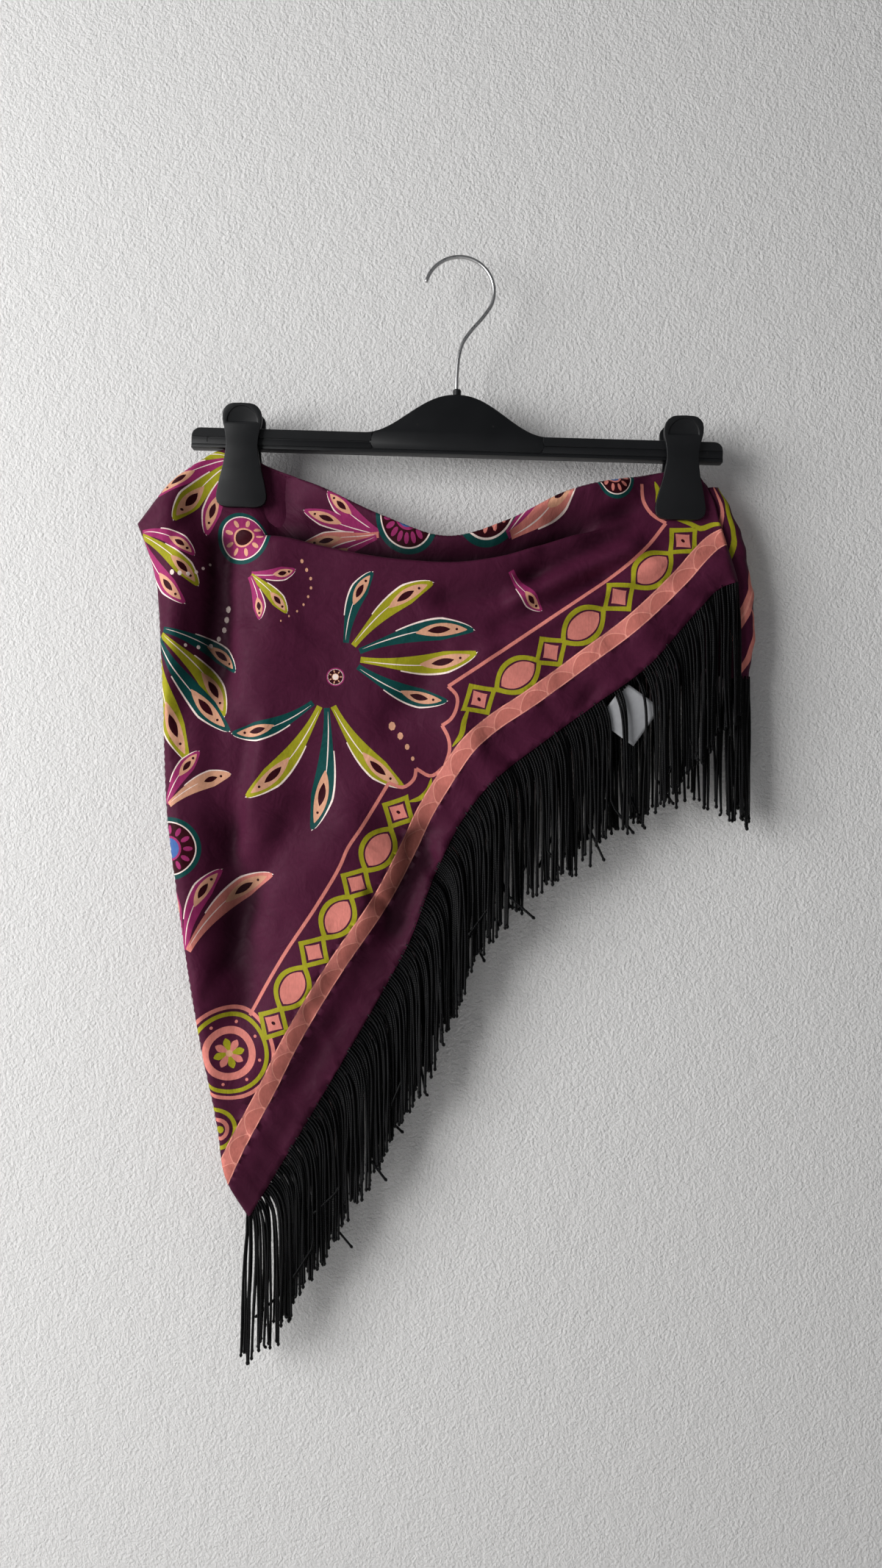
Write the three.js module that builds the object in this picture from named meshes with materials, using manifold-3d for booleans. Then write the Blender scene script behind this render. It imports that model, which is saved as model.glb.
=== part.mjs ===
// A square printed satin scarf with a long corded fringe, folded over and hung from a clip hanger.
// Millimetres, +X to the right, +Y to the back, +Z up. Heights and widths are first drawn about the
// middle of the hanger, then the whole is moved so that the origin is the inside top of the hook.
import * as THREE from "three";
import { mergeVertices } from "three/addons/utils/BufferGeometryUtils.js";
import Module from "manifold-3d";

const wasm = await Module();
wasm.setup();

// ---------------------------------------------------------------- driving sizes
const SEAM = 0.3; // clearance between pieces that touch
const CLOTH = 1.5; // wall of one hanging layer

const HOOK = { wire: 2.6, bend: 23.6, bendX: 1.5, bendZ: -20.2, tipAngle: 164, neckAngle: -24 };
const HOOK_FACETS = { sides: 8, steps: 56 };
const HOOK_NECK = [
  { x: 17.7, z: -37.6 },
  { x: 9.1, z: -47.4 },
  { x: 3.7, z: -55.5 },
  { x: 1.2, z: -64.1 },
  { x: 0, z: -75 },
  { x: -0.4, z: -84 },
  { x: -0.4, z: -94 },
];
const HANGER = { middle: -125.3, tilt: 1.65 }; // height of the bar's middle; degrees, right end down
const BAR = { length: 360, height: 13.6, depth: 10, edge: 1.2, endRound: 6 };
const GROOVE = { deep: 0.9, high: 0.7, clearOfHump: 56, pastEnd: 2 };
const HUMP = { middle: -1.1, halfWidth: 62, rise: 27, crown: 1.08 };
const BAR_NOTCH = { inFromEnd: 11, wide: 1, high: 3.4 };
const PIN_HOLES = { radius: 0.8, deep: 3, along: [-27.2, 24], up: 12.5 };
const COLLAR = { outer: 2.8, bore: 1.75, height: 4.4, chamfer: 0.6 };
const SOCKET = { bore: 2, deep: 8 };
const JAW = { plate: 3.4, pinch: 2.3, barGap: SEAM, recessDeep: 0.7 };
// Half of a jaw's outline, up from the middle of its foot, about the middle of the bar.
const JAW_OUTLINE = [
  { out: 0, up: -46.8 },
  { out: 11, up: -46.6 },
  { out: 15.4, up: -44.8 },
  { out: 17, up: -40.6 },
  { out: 15.6, up: -31 },
  { out: 12.2, up: -17 },
  { out: 10.7, up: -5 },
  { out: 11.8, up: 4 },
  { out: 13.3, up: 11 },
  { out: 12.4, up: 17 },
  { out: 8.4, up: 20.6 },
  { out: 0, up: 21.4 },
];
// How far the inner face of a jaw stands from the middle of the hanger.
const JAW_FACE = [
  { up: -48, away: JAW.pinch },
  { up: -35, away: JAW.pinch },
  { up: -22, away: 3.7 },
  { up: -8, away: BAR.depth / 2 + JAW.barGap },
  { up: 7, away: BAR.depth / 2 + JAW.barGap },
  { up: 23, away: 9.4 },
];
const THUMB_RECESS = { halfWidth: 10.2, floor: 9.6, top: 19.6 };
const SPRING = { wall: 0.8, width: 8, crownRadius: 4.4, legTop: 17 };
// Where each clip sits along the bar, and whether its foot has a moulding hole.
const CLIPS = [
  { name: "left", along: -145, mouldHole: false },
  { name: "right", along: 152, mouldHole: true },
];
const MOULD_HOLE = { out: 9.5, up: -40, radius: 1, deep: 2 };
// The care label's place along the front hem, its turn from upright and its lean to the back.
const LABEL = { along: 0.818, width: 30, length: 32, wall: 1, turn: 36, pitch: 9, tuckedIn: 3, clear: 0.8 };

// ---------------------------------------------------------------- outlines of the hanging cloth
// Each row is a point of the outline seen from the front.
const HEM = [
  { x: -141.7, z: -650 },
  { x: -94, z: -570.8 },
  { x: -51.8, z: -498 },
  { x: -33.5, z: -464 },
  { x: -15.7, z: -418 },
  { x: 3, z: -380 },
  { x: 23.5, z: -354 },
  { x: 57.9, z: -327 },
  { x: 92.3, z: -302 },
  { x: 126.8, z: -277 },
  { x: 161, z: -239.5 },
  { x: 176.5, z: -223.5 },
  { x: 191, z: -218 },
];
const LEFT_LOWER = [
  { x: -141.7, z: -650 },
  { x: -157.5, z: -623 },
  { x: -163.5, z: -584 },
  { x: -180, z: -492 },
  { x: -188, z: -436 },
  { x: -196, z: -370 },
  { x: -199, z: -284 },
  { x: -203, z: -228 },
];
const LEFT_UPPER = [
  { x: -203, z: -228 },
  { x: -208, z: -204 },
  { x: -217, z: -179 },
];
const TOP_FOLD = [
  { x: -217, z: -179 },
  { x: -194, z: -150 },
  { x: -177, z: -137 },
  { x: -162, z: -128.4 },
  { x: -147, z: -127.6 },
  { x: -134, z: -137 },
  { x: -95, z: -153 },
  { x: -50, z: -174 },
  { x: -7, z: -187.7 },
  { x: 34, z: -176.7 },
  { x: 74, z: -157.3 },
  { x: 117, z: -147.3 },
  { x: 152, z: -142.5 },
  { x: 166, z: -147 },
];
const CREASE_LOWER = [
  { x: 191, z: -218 },
  { x: 185, z: -198 },
  { x: 179.5, z: -180 },
];
const CREASE_UPPER = [
  { x: 179.5, z: -180 },
  { x: 174.5, z: -163 },
  { x: 166, z: -147 },
];
// The front layer's free fold below the sagging top edge, and how far the cloth tucks down behind it.
const TUCK_FOLD = [
  { x: -203, z: -228, tuck: 0 },
  { x: -180, z: -215, tuck: 0 },
  { x: -157, z: -199, tuck: 0 },
  { x: -137, z: -187, tuck: 0 },
  { x: -114, z: -189.5, tuck: 12 },
  { x: -90, z: -195, tuck: 20 },
  { x: -60, z: -201, tuck: 26 },
  { x: -30, z: -204.5, tuck: 28 },
  { x: 0, z: -205.5, tuck: 28 },
  { x: 28, z: -202, tuck: 24 },
  { x: 57, z: -193.5, tuck: 16 },
  { x: 80, z: -186, tuck: 9 },
  { x: 104, z: -179, tuck: 0 },
  { x: 130, z: -176, tuck: 0 },
  { x: 179.5, z: -180, tuck: 0 },
];
const TUCK = { turnFront: 1.9, turnBack: 0.5, openAt: 10, start: 5, climb: 6, end: 8 };
const TUCK_LIP = { rise: 4.5, reach: 24 }; // the fold stands forward of the cloth above it
// The shares of the path over a tuck where each stretch of it ends.
const TUCK_PATH = { rise: 0.1, overFold: 0.4, down: 0.6, underTurn: 0.85 };
const BACK_HEM = [
  { x: -141.7, z: -646 },
  { x: -94, z: -564 },
  { x: -51.8, z: -491 },
  { x: -15.7, z: -411 },
  { x: 23.5, z: -347 },
  { x: 57.9, z: -320 },
  { x: 92.3, z: -297 },
  { x: 126.8, z: -277 },
  { x: 155, z: -270 },
];
// The corner turned round the right edge: its outermost x, half width, half depth and middle depth.
const CORNER_FOLD = [
  { z: -283, out: 200, half: 8, depth: 4.4, middle: 5.8 },
  { z: -250, out: 204.2, half: 9.6, depth: 4.8, middle: 6 },
  { z: -222, out: 202.4, half: 9.6, depth: 4.8, middle: 6 },
  { z: -200, out: 198.4, half: 8.8, depth: 4.6, middle: 5.8 },
  { z: -181, out: 193.8, half: 7.6, depth: 4.2, middle: 5.4 },
  { z: -165, out: 185.8, half: 5.6, depth: 3.2, middle: 4.4 },
  { z: -153, out: 178, half: 3.4, depth: 2.2, middle: 3.2 },
];
const CORNER_LIP = 150; // degrees that the turned corner reaches either side of its outermost line

// ---------------------------------------------------------------- folds pressed into the layers
// A soft ridge (or trough, where rise is negative) from one point of the outline plane to another.
const FRONT_FOLDS = [
  { x0: -192, z0: -168, x1: -186, z1: -330, width: 17, rise: 6 },
  { x0: -163, z0: -182, x1: -160, z1: -330, width: 13, rise: -7 },
  { x0: -118, z0: -215, x1: -124, z1: -420, width: 30, rise: 6 },
  { x0: 124, z0: -186, x1: 0, z1: -224, width: 9, rise: 4 },
  { x0: 128, z0: -196, x1: -10, z1: -243, width: 8, rise: -3 },
  { x0: 134, z0: -204, x1: 0, z1: -264, width: 11, rise: 4 },
  { x0: -95, z0: -372, x1: -172, z1: -468, width: 15, rise: -5 },
  { x0: -60, z0: -330, x1: -120, z1: -520, width: 24, rise: 4 },
  { x0: -50, z0: -380, x1: -14, z1: -420, width: 14, rise: -5 },
  { x0: 0, z0: -320, x1: 30, z1: -352, width: 12, rise: 4 },
  { x0: 70, z0: -276, x1: 96, z1: -300, width: 12, rise: -3 },
  { x0: 120, z0: -248, x1: 136, z1: -268, width: 12, rise: 3 },
];
const BACK_FOLDS = [
  { x0: -150, z0: -185, x1: -150, z1: -420, width: 22, rise: 6 },
  { x0: 130, z0: -190, x1: -20, z1: -300, width: 18, rise: 6 },
  { x0: -120, z0: -190, x1: 20, z1: -280, width: 16, rise: -4 },
  { x0: -60, z0: -300, x1: -100, z1: -540, width: 22, rise: 5 },
];
const LEVEL = { front: 9, back: 8, hem: 6, clamped: 2, seamHalf: 0.2 };
const SLACK_REACH = 40; // how far from a clip the cloth has opened out
const CLAMP_MARGIN = { beside: 7, below: 13 }; // the cloth stays flat this far past a jaw's foot

// ---------------------------------------------------------------- fringe
const LOCK = { root: 0.65, tip: 0.75, sides: 3, turn: 0.5, stagger: 0.9 };
// How a lock's tip swings out at the cloth's point, wanders along the hem and stands unevenly.
const SWAY = { tipSwing: -4.5, swingLocks: 5, wander: 0.9, wanderStep: 0.31, jitter: 0.35, jitterStep: 1.9 };
const STRIP = { height: 2.6, sunk: 1.1 };
const FRINGES = [
  { name: "fringe_front", layer: "front", locks: 128, drop: 98, lean: 1.5, ripple: 4 },
  { name: "fringe_back", layer: "back", locks: 78, drop: 96, lean: 1.5, ripple: 5 },
  { name: "fringe_corner", layer: "corner", locks: 16, drop: 95, lean: 1, ripple: 3 },
];

// ---------------------------------------------------------------- materials
const material = (color, roughness, metalness = 0) =>
  new THREE.MeshStandardMaterial({ color, roughness, metalness });
const SATIN = material(0x43192f, 0.4);
const CORD = material(0x151417, 0.55);
const PLASTIC = material(0x1e1f21, 0.5);
const WIRE = material(0xb9bcc0, 0.3, 1);
const PAPER = material(0xe8e8e6, 0.8);

// ---------------------------------------------------------------- small helpers
const { degToRad, lerp, clamp } = THREE.MathUtils;
const ease = (from, to, v) => THREE.MathUtils.smoothstep(v, from, to);
const vector = (x, y, z) => new THREE.Vector3(x, y, z);
const outline = (rows) =>
  new THREE.CatmullRomCurve3(rows.map(({ x, z }) => vector(x, 0, z)), false, "centripetal");

// Straight-line lookup of one column of a table against another, which rises or falls all the way.
function lookup(rows, key, value, at) {
  const order = Math.sign(rows[rows.length - 1][key] - rows[0][key]);
  const next = rows.findIndex((row) => order * (row[key] - at) >= 0);
  if (next === 0) return rows[0][value];
  if (next < 0) return rows[rows.length - 1][value];
  const [a, b] = [rows[next - 1], rows[next]];
  return lerp(a[value], b[value], (at - a[key]) / (b[key] - a[key]));
}

// A patch between four outline curves: bottom and top run left to right, left and right run up.
function patch(bottom, top, left, right) {
  const corner = (curve, end) => curve.getPointAt(end);
  return (s, t) =>
    vector(0, 0, 0)
      .addScaledVector(bottom.getPointAt(s), 1 - t)
      .addScaledVector(top.getPointAt(s), t)
      .addScaledVector(left.getPointAt(t), 1 - s)
      .addScaledVector(right.getPointAt(t), s)
      .addScaledVector(corner(bottom, 0), -(1 - s) * (1 - t))
      .addScaledVector(corner(bottom, 1), -s * (1 - t))
      .addScaledVector(corner(top, 0), -(1 - s) * t)
      .addScaledVector(corner(top, 1), -s * t);
}

// Steps from one value to another, crowded towards the ends asked for, where the cloth turns over.
function steps(from, to, count, crowdStart = false, crowdEnd = false) {
  const near = [0.006, 0.018];
  const inner = Array.from({ length: count + 1 }, (_, i) => i / count);
  const extra = [...(crowdStart ? near : []), ...(crowdEnd ? near.map((v) => 1 - v) : [])];
  return [...inner, ...extra].sort((a, b) => a - b).map((v) => lerp(from, to, v));
}

// The point, the way to the right, the way up and the outward way of a surface at (u, v).
function frameAt(point, u, v) {
  const nudge = 1e-3;
  const across = point(Math.min(1, u + nudge), v).sub(point(Math.max(0, u - nudge), v)).normalize();
  const up = point(u, Math.min(1, v + nudge)).sub(point(u, Math.max(0, v - nudge))).normalize();
  return { at: point(u, v), across, up, out: across.clone().cross(up).normalize() };
}

// A closed wall on a surface: its other face lies one cloth's thickness inside. Side is -1 where the
// surface faces back, and half is the side of the middle plane that it never leaves, or 0.
function wall({ point, us, vs, side, half }) {
  const outer = us.flatMap((u) => vs.map((v) => frameAt(point, u, v)));
  const inner = outer.map(({ at, out }) => {
    const p = at.clone().addScaledVector(out, -side * CLOTH);
    return half ? p.setY(half * Math.max(half * p.y, SEAM / 2)) : p;
  });
  const corners = [...outer.map(({ at }) => at), ...inner];
  const at = (i, j, k) => k * outer.length + i * vs.length + j;
  const index = [];
  const quad = (a, b, c, d) => index.push(...(side > 0 ? [a, b, c, a, c, d] : [a, c, b, a, d, c]));
  const [lastI, lastJ] = [us.length - 1, vs.length - 1];
  for (let i = 0; i < lastI; i++) {
    for (let j = 0; j < lastJ; j++) {
      quad(at(i, j, 0), at(i + 1, j, 0), at(i + 1, j + 1, 0), at(i, j + 1, 0));
      quad(at(i, j, 1), at(i, j + 1, 1), at(i + 1, j + 1, 1), at(i + 1, j, 1));
    }
    quad(at(i, 0, 0), at(i, 0, 1), at(i + 1, 0, 1), at(i + 1, 0, 0));
    quad(at(i, lastJ, 0), at(i + 1, lastJ, 0), at(i + 1, lastJ, 1), at(i, lastJ, 1));
  }
  for (let j = 0; j < lastJ; j++) {
    quad(at(0, j, 0), at(0, j + 1, 0), at(0, j + 1, 1), at(0, j, 1));
    quad(at(lastI, j, 0), at(lastI, j, 1), at(lastI, j + 1, 1), at(lastI, j + 1, 0));
  }
  return new THREE.BufferGeometry().setFromPoints(corners).setIndex(index);
}

function solid(geometry) {
  const bare = new THREE.BufferGeometry().setAttribute("position", geometry.attributes.position.clone());
  bare.setIndex(geometry.index);
  const merged = mergeVertices(bare, 1e-4);
  return new wasm.Manifold(
    new wasm.Mesh({
      numProp: 3,
      vertProperties: merged.attributes.position.array,
      triVerts: new Uint32Array(merged.index.array),
    }),
  );
}

function geometryOf(manifold) {
  const mesh = manifold.getMesh();
  const geometry = new THREE.BufferGeometry();
  geometry.setAttribute("position", new THREE.Float32BufferAttribute(mesh.vertProperties, 3));
  return geometry.setIndex(new THREE.Uint32BufferAttribute(mesh.triVerts, 1));
}

const join = (geometries) => geometries.map(solid).reduce((whole, piece) => whole.add(piece));
const cut = (body, tools) => tools.reduce((left, tool) => left.subtract(solid(tool)), body);

function mesh(name, geometry, look) {
  const result = new THREE.Mesh(geometry, look);
  result.name = name;
  return result;
}

// An outline in (x, z), given depth from front to back about the middle.
function slab(points, depth, edge = 0) {
  const shape = new THREE.Shape(points.map(({ x, z }) => new THREE.Vector2(x, z)));
  return new THREE.ExtrudeGeometry(shape, {
    depth: depth - 2 * edge,
    bevelEnabled: edge > 0,
    bevelThickness: edge,
    bevelSize: edge,
    bevelOffset: -edge,
    bevelSegments: 2,
  })
    .translate(0, 0, -depth / 2 + edge)
    .rotateX(Math.PI / 2);
}

// A round drill along Y.
const drill = (x, y, z, radius, length) =>
  new THREE.CylinderGeometry(radius, radius, length, 12).translate(x, y, z);

// ---------------------------------------------------------------- depth of the layers
// How far a point of the outline plane lies from the nearest clamped foot, with the cloth above it.
function fromClips(x, z) {
  const foot = JAW_OUTLINE[3];
  return Math.min(
    ...CLIPS.map(({ along }) => {
      const barZ = HANGER.middle - along * Math.tan(degToRad(HANGER.tilt));
      const beside = Math.max(Math.abs(x - along) - foot.out - CLAMP_MARGIN.beside, 0);
      const below = Math.max(barZ + JAW_OUTLINE[0].up - CLAMP_MARGIN.below - z, 0);
      return Math.hypot(beside, below);
    }),
  );
}

function foldHeight(folds, x, z) {
  return folds.reduce((sum, { x0, z0, x1, z1, width, rise }) => {
    const length = Math.hypot(x1 - x0, z1 - z0);
    const along = ((x - x0) * (x1 - x0) + (z - z0) * (z1 - z0)) / length;
    const across = ((x - x0) * (z1 - z0) - (z - z0) * (x1 - x0)) / length;
    const beyond = Math.max(0, -along, along - length);
    return sum + rise * Math.exp(-((across / width) ** 2) - (beyond / (1.3 * width)) ** 2);
  }, 0);
}

// Depth of a layer away from its edges, with its folds and its slack about the clips.
function fullness(x, z, level, folds) {
  const slack = ease(0, SLACK_REACH, fromClips(x, z));
  return LEVEL.clamped + slack * Math.max(level - LEVEL.clamped + folds, 1);
}

// A quarter-round turn: the layer meets its neighbour at an edge and stands full a radius inside.
function turnedIn(depth, inside) {
  const radius = Math.max(2, 0.8 * depth);
  const turn = Math.sqrt(1 - (1 - clamp(inside / radius, 0, 1)) ** 2);
  return LEVEL.seamHalf + (depth - LEVEL.seamHalf) * turn;
}

// ---------------------------------------------------------------- the front layer
// From the hem up to the free fold, down behind it, and up again to the sagging top edge.
const FRONT_ROWS = { lower: 0.55, upper: 0.82 };
const openAt = (x) => ease(0, TUCK.openAt, lookup(TUCK_FOLD, "x", "tuck", x));
const frontLower = patch(outline(HEM), outline(TUCK_FOLD), outline(LEFT_LOWER), outline(CREASE_LOWER));
const frontUpper = patch(outline(TUCK_FOLD), outline(TOP_FOLD), outline(LEFT_UPPER), outline(CREASE_UPPER));

// The path over an open tuck: how far up the cloth from the fold, and how far behind the front face.
function openTuck(e, tuck) {
  const { turnFront: r, turnBack: q, start, end } = TUCK;
  const { rise, overFold, down, underTurn } = TUCK_PATH;
  const share = (from, to) => (e - from) / (to - from);
  if (e < rise) return { up: lerp(-start, -r, share(0, rise)), back: 0 };
  if (e < overFold) {
    const angle = share(rise, overFold) * Math.PI;
    return { up: -r + r * Math.sin(angle), back: r - r * Math.cos(angle) };
  }
  if (e < down) return { up: lerp(-r, q - tuck, share(overFold, down)), back: 2 * r };
  if (e < underTurn) {
    const angle = share(down, underTurn) * Math.PI;
    return { up: q - tuck - q * Math.sin(angle), back: 2 * r + q - q * Math.cos(angle) };
  }
  return { up: lerp(q - tuck, end - tuck, share(underTurn, 1)), back: 2 * r + 2 * q };
}

// The same at any column: a straight climb where the cloth has no tuck.
function tuckStep(e, x) {
  const path = openTuck(e, Math.max(lookup(TUCK_FOLD, "x", "tuck", x), TUCK.openAt));
  return { up: lerp(lerp(-TUCK.start, TUCK.climb, e), path.up, openAt(x)), back: path.back * openAt(x) };
}

// Where a point of the front layer lies on the outline plane, and how far the tuck sets it back.
function frontPlane(s, v) {
  const fold = frontLower(s, 1);
  const upward = fold.clone().sub(frontLower(s, 0.97)).normalize();
  if (v < FRONT_ROWS.lower) {
    const t = v / FRONT_ROWS.lower;
    return { p: frontLower(s, t).addScaledVector(upward, tuckStep(0, fold.x).up * t ** 4), back: 0 };
  }
  if (v < FRONT_ROWS.upper) {
    const step = tuckStep((v - FRONT_ROWS.lower) / (FRONT_ROWS.upper - FRONT_ROWS.lower), fold.x);
    return { p: fold.addScaledVector(upward, step.up), back: step.back };
  }
  const t = (v - FRONT_ROWS.upper) / (1 - FRONT_ROWS.upper);
  const last = tuckStep(1, fold.x);
  return { p: frontUpper(s, t).addScaledVector(upward, last.up * (1 - t) ** 2), back: last.back };
}

function frontPoint(s, v) {
  const { p, back } = frontPlane(s, v);
  const aboveFold = (p.z - lookup(TUCK_FOLD, "x", "z", p.x)) / TUCK_LIP.reach;
  const lip = TUCK_LIP.rise * openAt(p.x) * Math.exp(-(aboveFold ** 2));
  const level = lerp(LEVEL.hem, LEVEL.front, ease(0, 0.1, v));
  const full = fullness(p.x, p.z, level, foldHeight(FRONT_FOLDS, p.x, p.z) + lip);
  const edges = [frontPlane(0, v).p, frontPlane(1, v).p];
  if (v > FRONT_ROWS.upper) edges.push(frontPlane(s, 1).p);
  const inside = Math.min(...edges.map((edge) => edge.distanceTo(p)));
  return p.setY(-turnedIn(Math.max(full - back, LEVEL.clamped), inside));
}

// ---------------------------------------------------------------- the back layer and turned corner
const lipX = ({ out, half }) => out - half * (1 - Math.cos(degToRad(CORNER_LIP)));
const cornerLip = CORNER_FOLD.map((row) => ({ x: lipX(row) - 2 * SEAM, z: row.z }));
const backRight = [...cornerLip, TOP_FOLD[TOP_FOLD.length - 1]];
const backLeft = [BACK_HEM[0], ...LEFT_LOWER.slice(1), ...LEFT_UPPER.slice(1)];
const backPlane = patch(
  outline([...BACK_HEM, cornerLip[0]]),
  outline(TOP_FOLD),
  outline(backLeft),
  outline(backRight),
);
function backPoint(s, t) {
  const p = backPlane(s, t);
  const inside = Math.min(backPlane(0, t).distanceTo(p), backPlane(s, 1).distanceTo(p));
  return p.setY(turnedIn(fullness(p.x, p.z, LEVEL.back, foldHeight(BACK_FOLDS, p.x, p.z)), inside));
}

// The corner turned round the right edge: a C in section, open towards the middle.
function cornerPoint(u, v) {
  const z = lerp(CORNER_FOLD[0].z, CORNER_FOLD[CORNER_FOLD.length - 1].z, v);
  const size = (column) => lookup(CORNER_FOLD, "z", column, z);
  const angle = degToRad(CORNER_LIP * (1 - 2 * u));
  return vector(
    size("out") - size("half") * (1 - Math.cos(angle)),
    size("middle") - size("depth") * Math.sin(angle),
    z,
  );
}

const frontRows = [
  ...steps(0, FRONT_ROWS.lower, 12, true).slice(0, -1),
  ...steps(FRONT_ROWS.lower, FRONT_ROWS.upper, 12).slice(0, -1),
  ...steps(FRONT_ROWS.upper, 1, 5, false, true),
];
const backRows = steps(0, 1, 14, true, true).map((t) => 1 - (1 - t) ** 1.6);
// Side is the way a layer faces, and half is the side of the middle plane that it keeps to.
const LAYERS = {
  front: { point: frontPoint, us: steps(0, 1, 22, true, true), vs: frontRows, side: 1, half: -1 },
  back: { point: backPoint, us: steps(0, 1, 18, true), vs: backRows, side: -1, half: 1 },
  corner: { point: cornerPoint, us: steps(0, 1, 12), vs: steps(0, 1, 9), side: 1, half: 0 },
};
const clothLayers = [
  mesh("front_panel", wall(LAYERS.front), SATIN),
  mesh("back_panel", wall(LAYERS.back), SATIN),
  mesh("corner_fold", wall(LAYERS.corner), SATIN),
];

// ---------------------------------------------------------------- fringe
// A three-sided lock between level rings: its root, sunk in the strip, and its tip.
function lock(rings) {
  const { sides } = LOCK;
  const corners = rings.flatMap(({ at, radius }, k) =>
    Array.from({ length: sides }, (_, i) => {
      const angle = (2 * Math.PI * i) / sides + LOCK.turn;
      return vector(at.x + radius * Math.cos(angle), at.y + radius * Math.sin(angle), at.z);
    }),
  );
  const index = [];
  for (let k = 0; k < rings.length - 1; k++)
    for (let i = 0; i < sides; i++) {
      const [a, b] = [k * sides + i, k * sides + ((i + 1) % sides)];
      index.push(a, a + sides, b, b, a + sides, b + sides);
    }
  const tip = (rings.length - 1) * sides;
  for (let i = 1; i < sides - 1; i++) index.push(0, i, i + 1, tip, tip + i + 1, tip + i);
  return new THREE.BufferGeometry().setFromPoints(corners).setIndex(index);
}

// A hem's strip lies a seam below the cloth's edge, and its locks hang from inside it.
function fringe({ name, layer, locks, drop, lean, ripple }) {
  const { point, us, side, half } = LAYERS[layer];
  const below = (u, distance) => {
    const { at, across, out } = frameAt(point, u, 0);
    const down = out.clone().cross(across).normalize();
    return at.addScaledVector(down.z < 0 ? down : down.negate(), distance);
  };
  const stripPoint = (u, v) => below(u, SEAM + STRIP.height * (1 - v));
  const strip = wall({ point: stripPoint, us, vs: [0, 1], side, half });
  const roots = us.map((u) => {
    const { out } = frameAt(point, u, 0);
    const at = below(u, SEAM + STRIP.height - STRIP.sunk).addScaledVector(out, (-side * CLOTH) / 2);
    return { u, at, out };
  });
  const strands = Array.from({ length: locks }, (_, i) => {
    const u = (i + 0.5) / locks;
    const next = roots.findIndex((row) => row.u > u);
    const [a, b] = [roots[next - 1], roots[next]];
    const share = (u - a.u) / (b.u - a.u);
    const root = a.at.clone().lerp(b.at, share);
    const out = a.out.clone().lerp(b.out, share);
    const outward = half === 0 ? out.clone().multiplyScalar(0.4) : vector(0, half, 0);
    const spread = outward.clone().multiplyScalar(lean + LOCK.stagger * (i % 2 ? 1 : -1));
    const swing = SWAY.tipSwing * Math.exp(-i / SWAY.swingLocks) * Math.abs(half);
    const wander = SWAY.wander * Math.sin(SWAY.wanderStep * i + half);
    const sway = swing + wander + SWAY.jitter * Math.sin(SWAY.jitterStep * i);
    const length = drop + ripple * Math.sin(2.3 * i) * Math.cos(0.7 * i);
    const end = root.clone().add(spread).add(vector(sway, 0, -length));
    return lock([
      { at: root, radius: LOCK.root },
      { at: end, radius: LOCK.tip },
    ]);
  });
  return mesh(name, geometryOf(join([strip, ...strands])), CORD);
}
const fringes = FRINGES.map(fringe);

// ---------------------------------------------------------------- care label
// Caught behind the front hem by one corner, it hangs askew between the two layers' fringes.
function careLabel() {
  const { width, wall: thick, length, turn, pitch, along, tuckedIn, clear } = LABEL;
  const hem = frontPoint(along, 0);
  const result = mesh("care_label", new THREE.BoxGeometry(width, thick, length), PAPER);
  result.geometry.translate(width / 2 - tuckedIn, thick / 2, tuckedIn - length / 2);
  result.rotation.set(degToRad(pitch), degToRad(turn), 0, "YXZ");
  result.position.set(hem.x, hem.y + CLOTH + clear, hem.z);
  return result;
}

// ---------------------------------------------------------------- hanger
function humpHeight(x) {
  const reach = clamp(Math.abs(x - HUMP.middle) / HUMP.halfWidth, 0, 1);
  return (HUMP.rise * (1 + Math.cos(Math.PI * reach ** HUMP.crown))) / 2;
}
function hangerBar() {
  const { length, height, depth, edge, endRound } = BAR;
  const [end, half] = [length / 2, height / 2];
  const humpSteps = Array.from({ length: 17 }, (_, i) => HUMP.middle + HUMP.halfWidth * (1 - i / 8));
  const corner = (side) => [0, 30, 60, 90].map((a) => ({
    x: side * (end - endRound + endRound * Math.cos(degToRad(a))),
    z: half - endRound + endRound * Math.sin(degToRad(a)),
  }));
  const body = slab(
    [
      { x: -end, z: -half },
      { x: end, z: -half },
      ...corner(1),
      ...humpSteps.map((x) => ({ x, z: half + humpHeight(x) })),
      ...corner(-1).reverse(),
    ],
    depth,
    edge,
  );
  const grooveLength = end - GROOVE.clearOfHump + GROOVE.pastEnd;
  const grooves = [-1, 1].flatMap((face) =>
    [-1, 1].map((side) =>
      new THREE.BoxGeometry(grooveLength, 2 * GROOVE.deep, GROOVE.high).translate(
        side * (GROOVE.clearOfHump + grooveLength / 2),
        (face * depth) / 2,
        0,
      ),
    ),
  );
  const notches = [-1, 1].map((side) =>
    new THREE.BoxGeometry(BAR_NOTCH.wide, 2 * GROOVE.deep, BAR_NOTCH.high).translate(
      side * (end - BAR_NOTCH.inFromEnd),
      -depth / 2,
      -BAR_NOTCH.high / 2,
    ),
  );
  const { along, up, radius, deep } = PIN_HOLES;
  const pins = along.map((x) => drill(x, -depth / 2, up, radius, 2 * deep));
  const socket = drill(0, 0, 0, SOCKET.bore, SOCKET.deep + 2)
    .rotateX(Math.PI / 2)
    .translate(HUMP.middle, 0, half + HUMP.rise - SOCKET.deep / 2 + 1);
  return geometryOf(cut(solid(body), [...grooves, ...notches, ...pins, socket]));
}

function collar() {
  const { outer, bore, height, chamfer } = COLLAR;
  const profile = [
    [bore, 0],
    [outer, 0],
    [outer, height - chamfer],
    [outer - chamfer, height],
    [bore, height],
    [bore, 0],
  ].map(([r, y]) => new THREE.Vector2(r, y));
  return new THREE.LatheGeometry(profile, 20).rotateX(Math.PI / 2);
}

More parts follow.
